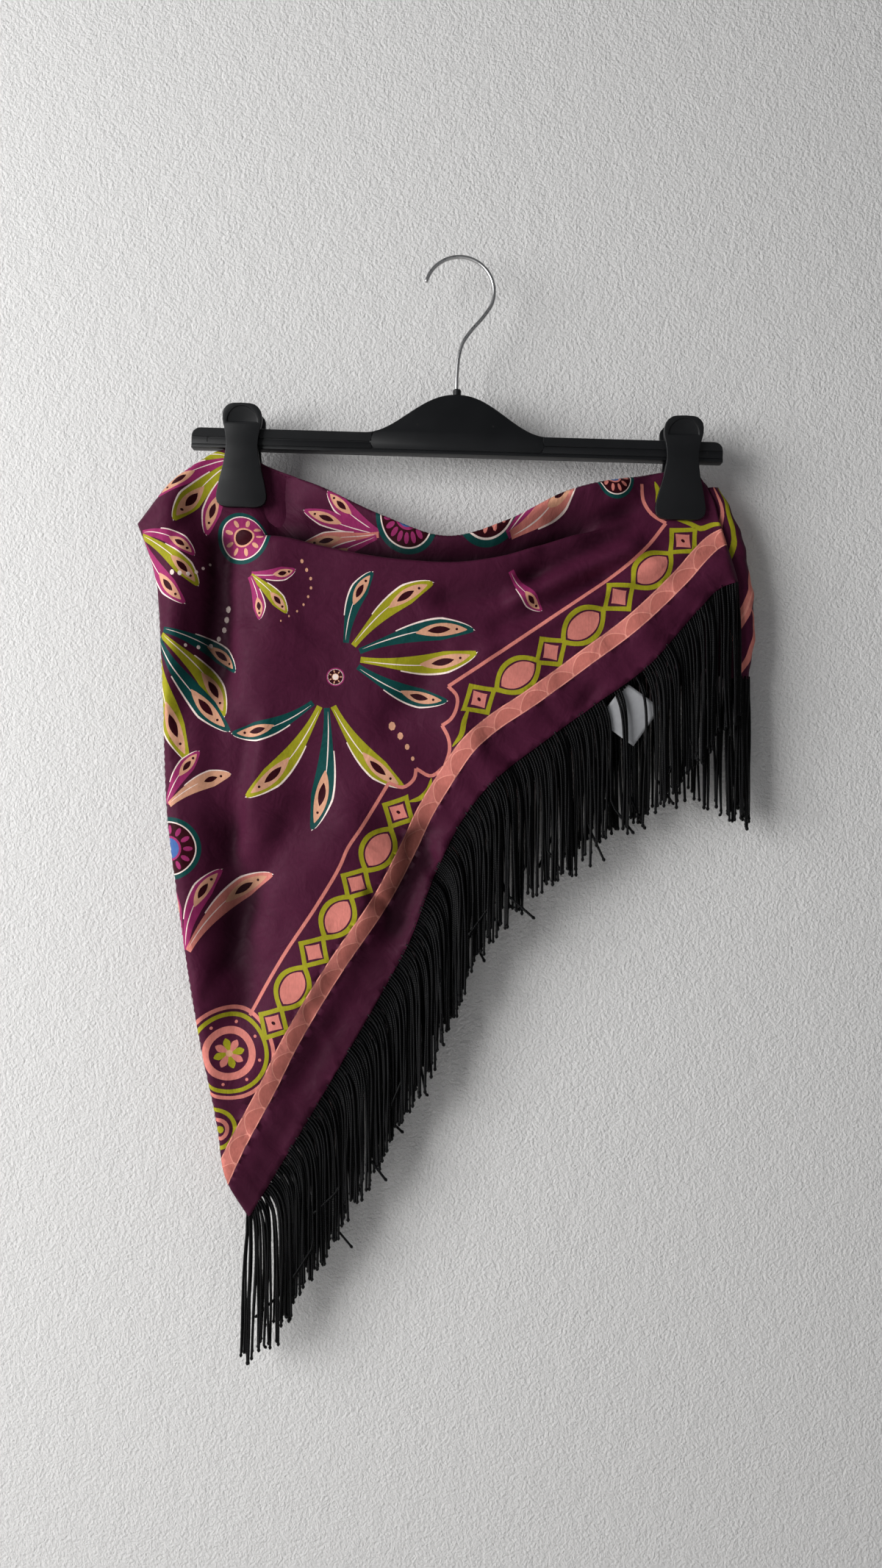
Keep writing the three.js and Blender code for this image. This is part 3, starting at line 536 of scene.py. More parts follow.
    def painted_shade(self, s: Array, v: Array) -> Array:
        """How much painted shade darkens a place for lying deep in a fold, 0 to 1: in the pocket above the
        free fold, in troughs and on the turned lower hem.
        """
        seen, back, _ = self.plane(s, v)
        x, z = seen.T
        # painted shade in the pocket above the free fold, fading upwards from it
        above = (z - np.interp(x, self.table_x, self.table_z)) / self.shade_reach
        pocket = ease(0, self.open_at, self.tuck(x)) * ease(*self.pocket_span, back)
        pocket = pocket * np.exp(-np.maximum(above, 0) ** 1.4)
        # painted shade in troughs, darker where the folds sink deeper
        trough = self.trough_shade * ease(*self.trough_span, -self.rise(x, z) * slack(x, z))
        # painted shade along the lower hem, standing in for its turning away from the light, in a wavy strip
        strip = blend(*self.turned_strip, ease(0.2, 0.5, s))
        turned = self.turned_shade * (1 - ease(*self.turned_ends, s)) * (1 - ease(0.5, 1.2, v / strip))
        turned = turned * (0.75 + 0.25 * np.sin(52 * s) * np.sin(5 * v / strip + 9 * s))
        return np.maximum(np.maximum(pocket, trough), turned)

    def point(self, s: Array, v: Array) -> Array:
        """Where a place on the cloth hangs, as rows of x, y, z."""
        seen, back, _ = self.plane(s, v)
        x, z = seen.T
        above = z - np.interp(x, self.table_x, self.table_z)
        opened = ease(0, self.open_at, self.tuck(x))
        lip = self.lip * opened * np.exp(-((above / self.lip_reach) ** 2))
        pocket = self.pocket * opened * ease(0, 4, back) * np.exp(-((above / self.pocket_reach) ** 2))
        hem_level = blend(self.low_hem_level, self.hem_level, ease(*self.hem_turn, s))
        level = blend(hem_level, self.level, ease(0, self.hem_reach, v))
        folds = self.rise(x, z) + lip - pocket
        full = self.clamped + slack(x, z) * np.maximum(level - self.clamped + folds, self.deepest[0])
        height, waves, slow, slant, fade = self.hem_wave
        hem_wave = height * np.sin(s * 2 * pi * waves + slant * v) * np.sin(s * slow) * np.exp(-v * fade)
        inside = np.minimum(*(norms(self.plane(0 * s + end, v)[0] - seen) for end in (0, 1)))
        top = norms(self.plane(s, 0 * v + 1)[0] - seen)
        inside = np.where(v > self.upper_share, np.minimum(inside, top), inside)
        depth = self.depth(np.maximum(full - back, self.deepest[1]) + hem_wave, inside)
        return np.column_stack([x, -depth - lean(x, z), z])


@dataclass
class BackLayer(Layer):
    """The back, from its own hem up to the sagging top edge."""

    level: float = 8.0
    least_rise: float = 1.5
    # how far the back stays clear of the turned corner's lip
    clear: float = 0.6

    def __post_init__(self) -> None:
        """Draws the outlines."""
        turned = 1 - cos(radians(CORNER_LIP))
        lip = [(out - half * turned - self.clear, z) for z, out, half, _, _ in CORNER_FOLD]
        self.outline = Patch(
            Outline([*BACK_HEM, lip[0]]), Outline(TOP_FOLD),
            Outline([BACK_HEM[0], *LEFT_LOWER[1:], *LEFT_UPPER[1:]]), Outline([*lip, TOP_FOLD[-1]]),
        )

    def unrolled(self, s: Array, v: Array) -> Array:
        """The back has no tuck, so it is drawn as it is seen."""
        return self.outline.at(s, v)

    def point(self, s: Array, v: Array) -> Array:
        """Where a place on the cloth hangs, as rows of x, y, z."""
        seen = self.outline.at(s, v)
        x, z = seen.T
        folds = fold_height(BACK_FOLDS, x, z) + fold_height(BACK_CREASES, x, z) + ripple(z, x)
        full = self.clamped + slack(x, z) * np.maximum(self.level - self.clamped + folds, self.least_rise)
        edges = self.outline.at(0 * s, v), self.outline.at(s, 0 * v + 1)
        inside = np.minimum(*(norms(edge - seen) for edge in edges))
        return np.column_stack([x, self.depth(full, inside) - lean(x, z), z])


@dataclass
class CornerLayer(Layer):
    """The corner turned round the right edge, a C in section."""

    around: float = 44.0

    def __post_init__(self) -> None:
        """Reads the sections."""
        self.rows = np.array(sorted(CORNER_FOLD), float)

    def size(self, column: int, z: Array) -> Array:
        """One column of the sections at heights z."""
        return np.interp(z, self.rows[:, 0], self.rows[:, column])

    def unrolled(self, s: Array, v: Array) -> Array:
        """The strip drawn flat, s round it and v up it."""
        return np.column_stack([s * self.around, blend(self.rows[0, 0], self.rows[-1, 0], v)])

    def point(self, s: Array, v: Array) -> Array:
        """Where a place on the strip hangs, as rows of x, y, z."""
        z = blend(self.rows[0, 0], self.rows[-1, 0], v)
        angle = np.radians(CORNER_LIP * (1 - 2 * s))
        crumple = 0.5 * np.sin(z * 0.19 + 2 * angle) + 0.35 * np.sin(z * 0.41 - angle)
        x = self.size(1, z) - self.size(2, z) * (1 - np.cos(angle)) + crumple * np.cos(angle) - 0.4
        y = self.size(4, z) - (self.size(3, z) + 0.4 * crumple) * np.sin(angle)
        return np.column_stack([x, y, z])


# ---- the printed inks
class Ink(Enum):
    """The colours printed on the satin."""

    GROUND = (66, 22, 44)
    PEACH = (196, 118, 108)
    PEACH_LIGHT = (216, 142, 128)
    PEACH_DEEP = (182, 106, 96)
    OLIVE = (146, 142, 30)
    TEAL = (10, 64, 62)
    MAGENTA = (140, 42, 92)
    TAN = (200, 148, 120)
    CREAM = (230, 210, 202)
    BLUE = (60, 92, 146)
    DARK = (44, 6, 14)


GROUND, PEACH, PEACH_LIGHT, PEACH_DEEP, OLIVE, TEAL, MAGENTA, TAN, CREAM, BLUE, DARK = Ink
POSY = (MAGENTA, DARK, TAN, CREAM)
BLOOM = (TEAL, DARK, MAGENTA, BLUE)
PALE_BLOOM = (TEAL, DARK, PEACH, BLUE)


@dataclass(frozen=True)
class Shape:
    """A printed area: its ink and its outline in drawn x, z."""

    ink: Ink
    outline: Array

    def moved(self, place: Callable[[Array], Array]) -> Shape:
        """The same area put somewhere else."""
        return Shape(self.ink, place(self.outline))


def set_at(x: float, z: float, heading: float, size: float = 1.0) -> Callable[[Array], Array]:
    """Makes a placer that turns, sizes and moves a motif.

    Args:
        x, z: where its own origin goes.
        heading: which way its own +x points, in degrees from +X towards +Z.
        size: how much it is enlarged.

    Returns:
        A function from the motif's own points to drawn points.
    """
    c, s = cos(radians(heading)) * size, sin(radians(heading)) * size
    turn = np.array([[c, s], [-s, c]])
    return lambda points: points @ turn + np.array([x, z])


def disc(radius: float, x: float = 0.0, z: float = 0.0, tall: float = 1.0, count: int = 0) -> Array:
    """A round or oval outline.

    Args:
        radius: its half width.
        x, z: its middle.
        tall: its height over its width.
        count: how many sides it has, or 0 to choose.

    Returns:
        Its points.
    """
    count = count or max(8, int(radius * 3.2))
    a = np.linspace(0, 2 * pi, count, endpoint=False)
    return np.column_stack([x + radius * np.cos(a), z + radius * tall * np.sin(a)])


def stroke(rows: Sequence[Row], width: float, step: float = 2.5, taper: bool = False) -> Array:
    """A brush stroke along a smooth line.

    Args:
        rows: points of the line.
        width: the stroke's width.
        step: how far apart its points are.
        taper: whether its ends are pointed.

    Returns:
        The outline of the stroke.
    """
    line = Outline(rows)
    share = np.linspace(0, 1, max(5, int(line.length / step)))
    half = np.full_like(share, width / 2)
    if taper:
        half = np.maximum(half * np.sin(pi * np.clip(share * 0.96 + 0.02, 0, 1)) ** 0.7, 0.08)
    return ribbon(line.at(share), line.normals(share) * half[:, None])


def ribbon(middle: Array, left: Array, right: Array | None = None) -> Array:
    """The outline between two sides of a line."""
    return np.vstack([middle + left, (middle - left if right is None else middle + right)[::-1]])


@dataclass(frozen=True)
class Leaf:
    """A long bent leaf with a pointed tip, a rib, a pale outer edge, and a seed in its broad end."""

    length: float = 72.0
    width: float = 13.0
    bend: float = 50.0
    root: float = 4.0
    body: Ink = OLIVE
    seed: Ink = TAN
    rim: Ink = CREAM
    broad: float = 0.72
    steps: int = 80

    def middle(self, share: Array) -> Array:
        """The leaf's middle line at shares of its length."""
        fine = np.linspace(0, 1, self.steps + 1)
        heading = np.radians(self.bend) * fine[:-1] ** 1.5
        x, z = (totals(part) * self.length / self.steps for part in (np.cos(heading), np.sin(heading)))
        return np.column_stack([np.interp(share, fine, x), np.interp(share, fine, z)])

    def across(self, share: Array) -> Array:
        """The way to the leaf's left at shares of its length."""
        along = np.gradient(self.middle(share), axis=0)
        return np.column_stack([-along[:, 1], along[:, 0]]) / norms(along)[:, None]

    def half(self, share: Array) -> Array:
        """The leaf's half width at shares of its length."""
        rise = self.root / 2 + (self.width - self.root) / 2 * ease(0, self.broad, share)
        fall = np.maximum(0, 1 - np.maximum(share - self.broad, 0) / (1 - self.broad)) ** 0.62
        return rise * fall

    def band(self, low: float, high: float, left: float, right: float, count: int = 22) -> Array:
        """A part of the leaf, as an outline.

        Args:
            low, high: the shares of the length where it starts and ends.
            left, right: how far its sides lie to the left of the middle, over the leaf's half width.
            count: how many points lie along each side.

        Returns:
            The outline.
        """
        share = np.linspace(low, high, count)
        side = self.across(share) * self.half(share)[:, None]
        return ribbon(self.middle(share), side * left, side * right)

    def drop(self, low: float, high: float, scale: float, shift: float = 0.0, count: int = 11) -> Array:
        """A pointed oval lying in the leaf.

        Args:
            low, high: the shares of the length where it starts and ends.
            scale: its width over the leaf's.
            shift: how far it lies to the left, over the leaf's half width.
            count: how many points lie along each side.

        Returns:
            The outline.
        """
        share = np.linspace(low, high, count)
        side = self.across(share)
        swell = np.sin(pi * np.clip((share - low) / (high - low), 0.01, 0.99)) ** 0.75
        middle = self.middle(share) + side * shift * self.width / 2
        return ribbon(middle, side * (self.width / 2 * scale * swell[:, None]))

    def shapes(self) -> list[Shape]:
        """The leaf's printed areas, lowest first."""
        out = -1.0 if self.bend > 0 else 1.0
        return [
            Shape(self.rim, self.band(0.34, 1.0, out * 1.18, 0, 18)),
            Shape(self.body, self.band(0, 0.985, 1, -1, 26)),
            Shape(self.rim, self.drop(0.03, 0.6, 0.055, out * 0.1, 14)),
            Shape(self.seed, self.drop(0.5, 0.93, 0.62)),
            Shape(DARK, self.drop(0.6, 0.79, 0.34, 0, 8)),
            Shape(DARK, disc(0.95, *self.middle(np.array([0.845]))[0], count=7)),
        ]


def spray(x: float, z: float, headings: Sequence[Row], bodies: Sequence[Ink],
          size: float = 1.0) -> list[Shape]:
    """Leaves that spring from about one place.

    Args:
        x, z: the place.
        headings: rows of heading, bend, length and how far from the place the leaf's root is.
        bodies: the leaves' inks, taken in turn.
        size: how much the spray is enlarged.

    Returns:
        Their printed areas.
    """
    found: list[Shape] = []
    for i, (heading, bend, length, away) in enumerate(headings):
        body = bodies[i % len(bodies)]
        leaf = Leaf(length=length, bend=bend, body=body, width=0.1 * length + 6.0)
        a = radians(heading)
        place = set_at(x + away * cos(a) * size, z + away * sin(a) * size, heading, size)
        found += [shape.moved(place) for shape in leaf.shapes()]
    return found


def flower(x: float, z: float, radius: float, petals: int, inks: Sequence[Ink],
           turn: float = 0.0) -> list[Shape]:
    """A round flower: a ring, its petals and its heart.

    Args:
        x, z: its middle.
        radius: its radius.
        petals: how many petals it has.
        inks: the ink of the ring, the ground inside, the petals and the heart.
        turn: how far it is turned, in degrees.

    Returns:
        Its printed areas.
    """
    ring, inner, petal, heart = inks
    found = [
        Shape(ring, disc(radius)), Shape(CREAM, disc(radius * 0.86)), Shape(inner, disc(radius * 0.82)),
    ]
    for i in range(petals):
        place = set_at(0, 0, 360 * i / petals + turn)
        found.append(Shape(petal, disc(radius * 0.15, radius * 0.6, 0, 0.5, 10)).moved(place))
    found += [Shape(petal, disc(radius * 0.4)), Shape(heart, disc(radius * 0.33))]
    return [shape.moved(set_at(x, z, 0)) for shape in found]


def berries(rows: Sequence[Row], count: int, size: float, ink: Ink = CREAM) -> list[Shape]:
    """Small seeds strewn along a line, smaller towards its end."""
    line = Outline(rows)
    share = np.linspace(0, 1, count)
    return [
        Shape(ink, disc(size * (1 - 0.5 * f), x, z, 1.3, 7)) for f, (x, z) in zip(share, line.at(share))
    ]


@dataclass(frozen=True)
class Border:
    """The ornament along a hem: a plain margin, a scaled band, a chain of beads and a thin line."""

    band_rows: tuple[Row, ...] = (
        (-164, -632), (-150, -601), (-128.9, -561.8), (-111.3, -526.6), (-82, -478), (-51.1, -432.7),
        (-32.8, -397.5), (-21.8, -374), (-6.1, -348), (7.1, -329.1), (23.7, -314.2), (48.6, -297.6),
        (85.1, -271), (118.3, -246.2), (151.4, -214.7), (163, -201.4), (174.7, -190.5), (190, -184),
    )
    band_width: float = 11.6
    scale_step: float = 21.0
    # x, z of each bead; the beads alternate from a square one
    low_beads: tuple[Row, ...] = (
        (-123, -514.8), (-110.2, -491.3), (-95.9, -467.2), (-80, -444), (-67.6, -421.7), (-53.3, -399.2),
        (-39.7, -374),
    )
    high_beads: tuple[Row, ...] = (
        (14.6, -298.1), (40.7, -281.8), (62.9, -266), (84.6, -248.7), (108.3, -229.6), (130.7, -211),
        (152.6, -190.6),
    )
    # the points of each thin line
    lines: tuple[tuple[Row, ...], ...] = (
        ((-140, -511), (-136.9, -505.3), (-117.1, -470.9), (-93.7, -435.6), (-79, -410.7), (-73.1, -397.5),
         (-64.3, -384.3), (-46, -354.2)),
        ((-46, -354.2), (-36.5, -357.2), (-29.1, -351.5), (-27.7, -344.7)),
        ((-27.7, -344.7), (-17.7, -349.6), (-8.6, -343.2)),
        ((-8.6, -343.2), (-5.3, -332.4), (-6.1, -324.1), (-10.3, -315.8)),
        ((-10.3, -315.8), (-4.5, -311.7), (-0.6, -304), (-0.3, -296), (-6.1, -289.3)),
        ((-6.1, -289.3), (51.9, -251.1), (111.6, -209.7), (128.2, -194.8), (141.5, -178.2)),
        ((141.5, -178.2), (131.5, -171.5), (126, -162), (124.9, -152)),
    )
    curls: tuple[tuple[Row, ...], ...] = (
        ((8, -303), (4.5, -313), (2.5, -322), (-3.5, -330)),
        ((-33, -367), (-25, -364.5), (-19.5, -359), (-17.5, -351)),
        ((149, -176), (158, -178.5), (165, -181.8), (174, -179), (184, -179.5)),
        ((134, -150), (136.5, -158), (135, -167)),
    )

    def band(self) -> list[Shape]:
        """The peach band with its scales."""
        line = Outline(self.band_rows)
        half = self.band_width / 2
        found = [Shape(PEACH, stroke(self.band_rows, self.band_width))]
        count = int(line.length / self.scale_step)
        for i in range(count):
            share = np.linspace((i + 0.04) / count, min((i + 1.18) / count, 1), 13)
            side = line.normals(share)
            base = line.at(share) - side * (half - 0.5)
            arch = np.sin(np.linspace(0, pi, 13)) ** 0.8 * self.band_width * 0.84
            top = base + side * np.maximum(arch, 0.1)[:, None]
            low = base + side * np.maximum(arch - 0.75, 0.05)[:, None]
            found.append(Shape(PEACH_LIGHT, np.vstack([base, top[::-1]])))
            found.append(Shape(PEACH_DEEP, np.vstack([base[1:-1], low[::-1][1:-1]])))
        share = np.linspace(0, 1, 150)
        for side in (-1, 1):
            edge = line.at(share) + line.normals(share) * side * (half - 0.4)
            found.append(Shape(PEACH_LIGHT, stroke(edge, 0.8, 3)))
        return found

    @staticmethod
    def bead(square: bool, marked: bool, reach: float) -> list[Shape]:
        """One bead of the chain, with its own +x along the chain.

        Args:
            square: whether it is a square bead and not an oval one.
            marked: whether it has a dark seed.
            reach: half the room that it has along the chain.

        Returns:
            Its printed areas.
        """
        def cell(along: float, across: float, round_out: float, draw_in: float) -> Array:
            """An outline that swells from a point at each end.

            Args:
                along, across: half its length and half its width.
                round_out: how full its sides are.
                draw_in: how much they are drawn in near the points.

            Returns:
                Its points.
            """
            t = np.linspace(-1, 1, 19)
            half = across * np.maximum(1 - np.abs(t) ** round_out, 0) ** draw_in
            upper, lower = np.column_stack([t * along, half]), np.column_stack([t * along, -half])
            return np.vstack([upper, lower[-2:0:-1]])

        if square:
            cells = (reach + 2.4, 12.6, 1.0, 1.12), (reach - 2.6, 8.2, 1.0, 1.0), (6.6, 7.0, 1.0, 1.15)
        else:
            cells = (
                (reach + 2.6, 12.4, 2.3, 1.15), (reach - 1.8, 9.0, 2.3, 1.0), (reach - 3.6, 7.7, 2.4, 0.85),
            )
        found = [Shape(ink, cell(*sizes)) for ink, sizes in zip((OLIVE, GROUND, PEACH), cells)]
        return found + ([Shape(DARK, disc(1.1, 0, 0, 1.4))] if marked else [])

    def chain(self, beads: Sequence[Row]) -> list[Shape]:
        """The chain of beads, square and oval in turn."""
        points = np.array(beads, float)
        along = np.gradient(points, axis=0)
        step = float(np.mean(norms(np.diff(points, axis=0))))
        found: list[Shape] = []
        for i, ((x, z), (dx, dz)) in enumerate(zip(points, along)):
            square = i % 2 == 0
            reach = step * (0.42 if square else 0.58)
            place = set_at(x, z, degrees(atan2(dz, dx)))
            marked = i in (0, len(points) - 1)
            found += [shape.moved(place) for shape in self.bead(square, marked, reach)]
        order = {OLIVE: 0, GROUND: 1, PEACH: 2}
        return sorted(found, key=lambda shape: order.get(shape.ink, 3))

    def shapes(self) -> list[Shape]:
        """The whole ornament, lowest first."""
        found = [Shape(PEACH, stroke(rows, 2.3, 2.2)) for rows in self.lines]
        found += [Shape(OLIVE, stroke(rows, 3.6, 2.2, True)) for rows in self.curls]
        return found + self.chain(self.low_beads) + self.chain(self.high_beads) + self.band()


def corner_roundel(x: float, z: float) -> list[Shape]:
    """The ringed flower at the cloth's corner."""
    rings = zip((PEACH, GROUND, OLIVE, GROUND, PEACH, GROUND), (31.5, 28.8, 27, 24.2, 18, 13.2))
    found = [Shape(ink, disc(radius)) for ink, radius in rings]
    for i in range(8):
        place = set_at(0, 0, 45 * i + 12)
        ink = PEACH if i % 2 else OLIVE
        found.append(Shape(ink, Leaf(10.5, 5.0, 8, 1.6).band(0, 0.99, 1, -1, 9)).moved(place))
        found.append(Shape(PEACH, disc(1.1, 21, 0, 1, 8)).moved(set_at(0, 0, 45 * i + 34)))
    found.append(Shape(TAN, disc(2.4)))
    return [shape.moved(set_at(x, z, 0)) for shape in found]


def front_print(layer: FrontLayer) -> list[Shape]:
    """Everything printed on the front, in unrolled places."""
    field_shapes = [
        *spray(-76, -270, [(84, -40, 52, 10), (52, -36, 70, 10), (22, -30, 80, 11), (-8, 30, 80, 11),
                           (-34, 34, 66, 11)], [TEAL, OLIVE]),
        *spray(-88, -294, [(-62, 34, 74, 10), (-88, -24, 84, 10), (-116, -34, 80, 10), (-144, -40, 60, 11)],
               [OLIVE, TEAL]),
        *flower(-82, -283, 6.2, 7, POSY),
        *berries([(-44, -316), (-36, -326), (-30, -338)], 4, 2.4, TAN),
        *spray(-204, -250, [(-14, -44, 56, 8), (-40, -34, 70, 8), (-62, 24, 80, 8), (-82, 20, 86, 8)],
               [TEAL, OLIVE]),
        *berries([(-156, -236), (-160, -252), (-170, -262), (-182, -262)], 7, 1.9),
        *spray(-140, -214, [(-8, 36, 34, 2), (-38, -22, 40, 2), (-66, -30, 34, 2)],
               [MAGENTA, OLIVE, MAGENTA], 0.9),
        *berries([(-104, -206), (-98, -220), (-104, -236), (-118, -246)], 9, 1.1, TAN),
        *spray(-182, -470, [(84, -44, 60, 4), (60, -46, 78, 4), (106, -20, 40, 4)],
               [MAGENTA, PEACH, MAGENTA]),
        *flower(-192, -398, 21, 12, BLOOM),
        *spray(-196, -372, [(66, -20, 42, 4), (40, -34, 46, 5)], [MAGENTA, TAN]),
        *spray(36, -212, [(-60, 24, 34, 0)], [MAGENTA]),
    ]
    shoulder = [
        *spray(-146, -128, [(186, 26, 54, 6), (204, 20, 62, 4), (222, 22, 64, 4), (240, 22, 58, 6)],
               [OLIVE, MAGENTA]),
        *spray(-216, -186, [(-4, -50, 40, 4), (-30, -30, 52, 4), (-62, 20, 56, 4)], [MAGENTA, OLIVE]),
        *flower(-144, -188, 19, 9, (TEAL, MAGENTA, TAN, DARK)),
        *berries([(-190, -214), (-178, -214), (-168, -206)], 6, 1.5),
    ]
    above = [
        *spray(-52, -184, [(146, -24, 50, 2), (162, -14, 58, 2), (180, 16, 54, 2), (198, 16, 44, 4)],
               [MAGENTA, MAGENTA, PEACH]),
        *flower(-30, -174, 25, 18, BLOOM),
        *flower(23, -174, 23, 16, PALE_BLOOM),
        *spray(36, -192, [(44, -24, 46, 2), (26, 20, 50, 4)], [MAGENTA, PEACH]),
        *flower(104, -150, 15, 12, PALE_BLOOM),
    ]
    rings = [(OLIVE, 15, -164), (GROUND, 12.2, -164), (PEACH, 8, -162), (GROUND, 5.4, -162),
             (OLIVE, 2.6, -160)]
    return [
        *field_shapes, *shoulder, *(shape.moved(layer.above) for shape in above),
        *corner_roundel(-153, -535.7), *(Shape(ink, disc(radius, x, -588)) for ink, radius, x in rings),
        *berries([(-142, -578), (-140, -588), (-146, -598)], 3, 1.6, PEACH), *Border().shapes(),
    ]


def back_print(_: BackLayer) -> list[Shape]:
    """Everything printed on the back."""
    return [
        *spray(-110, -270, [(70, -30, 60, 8), (20, 26, 70, 8), (-30, 30, 66, 8), (-80, -30, 70, 8),
                            (-130, -34, 60, 8)], [OLIVE, TEAL]),
        *flower(-110, -270, 8, 8, POSY),
        *spray(-30, -215, [(200, 26, 56, 6), (-20, -26, 60, 6), (-60, 26, 50, 6)], [MAGENTA, PEACH]),
        *spray(-170, -450, [(70, -36, 70, 4), (100, 20, 56, 4)], [MAGENTA, TAN]),
        *flower(-30, -172, 22, 16, BLOOM),
        *spray(60, -190, [(-20, 30, 60, 4), (14, -20, 56, 4)], [OLIVE, TEAL]),
        *corner_roundel(-153, -535.7),
        *Border().shapes(),
    ]


def corner_print(layer: CornerLayer) -> list[Shape]:
    """Everything printed on the turned corner."""
    band = [(-4, -262), (14, -232), (26, -196), (34, -150)]
    curl = [(layer.around, -240), (32, -222), (24, -204), (27, -186), (18, -168)]
    return [
        Shape(PEACH, stroke(band, 7)), Shape(PEACH_LIGHT, stroke(band, 1.4)),
        Shape(OLIVE, stroke(curl, 6, taper=True)),
        Shape(OLIVE, stroke([(2, -206), (10, -190), (12, -172), (20, -154)], 4)),
        Shape(PEACH, stroke([(6, -284), (16, -266), (20, -246), (16, -236)], 6, taper=True)),
        Shape(PEACH, stroke([(2, -180), (8, -168), (10, -152)], 3)),
    ]


# ---- making meshes
def put(name: str, data: bpy.types.ID) -> Object:
    """Puts a mesh, a lamp or a camera in the scene."""
    made = bpy.data.objects.new(name, data)
    bpy.context.scene.collection.objects.link(made)
    return made


def mesh_of(name: str, bm: BMesh) -> Mesh:
    """Turns a bmesh into a mesh and frees it."""
    mesh = bpy.data.meshes.new(name)
    bm.to_mesh(mesh)
    bm.free()
    return mesh


def new_piece(name: str, mesh: Mesh, material: Material) -> Object:
    """Puts a mesh in the scene as a piece of the part.

    Args:
        name: the piece's name.
        mesh: its mesh, in the frame's metres.
        material: its material.

    Returns:
        The piece, riding on the part's body.
    """
    piece = put(name, mesh)
    mesh.materials.append(material)
    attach(piece, BODY)
    LOG.info("%s: %d faces", name, len(mesh.polygons))
    return piece


def mesh_from(name: str, points: Array, faces: Sequence[Sequence[int]]) -> Mesh:
    """Makes a smooth mesh of drawn points and faces.

    Args:
        name: the mesh's name.
        points: rows of x, y, z in drawn millimetres.
        faces: the corners of each face.

    Returns:
        The mesh, in the frame's metres.
    """
    mesh = bpy.data.meshes.new(name)
    mesh.from_pydata(to_frame(points).tolist(), [], [list(f) for f in faces])
    mesh.polygons.foreach_set("use_smooth", [True] * len(mesh.polygons))
    mesh.update()
    return mesh


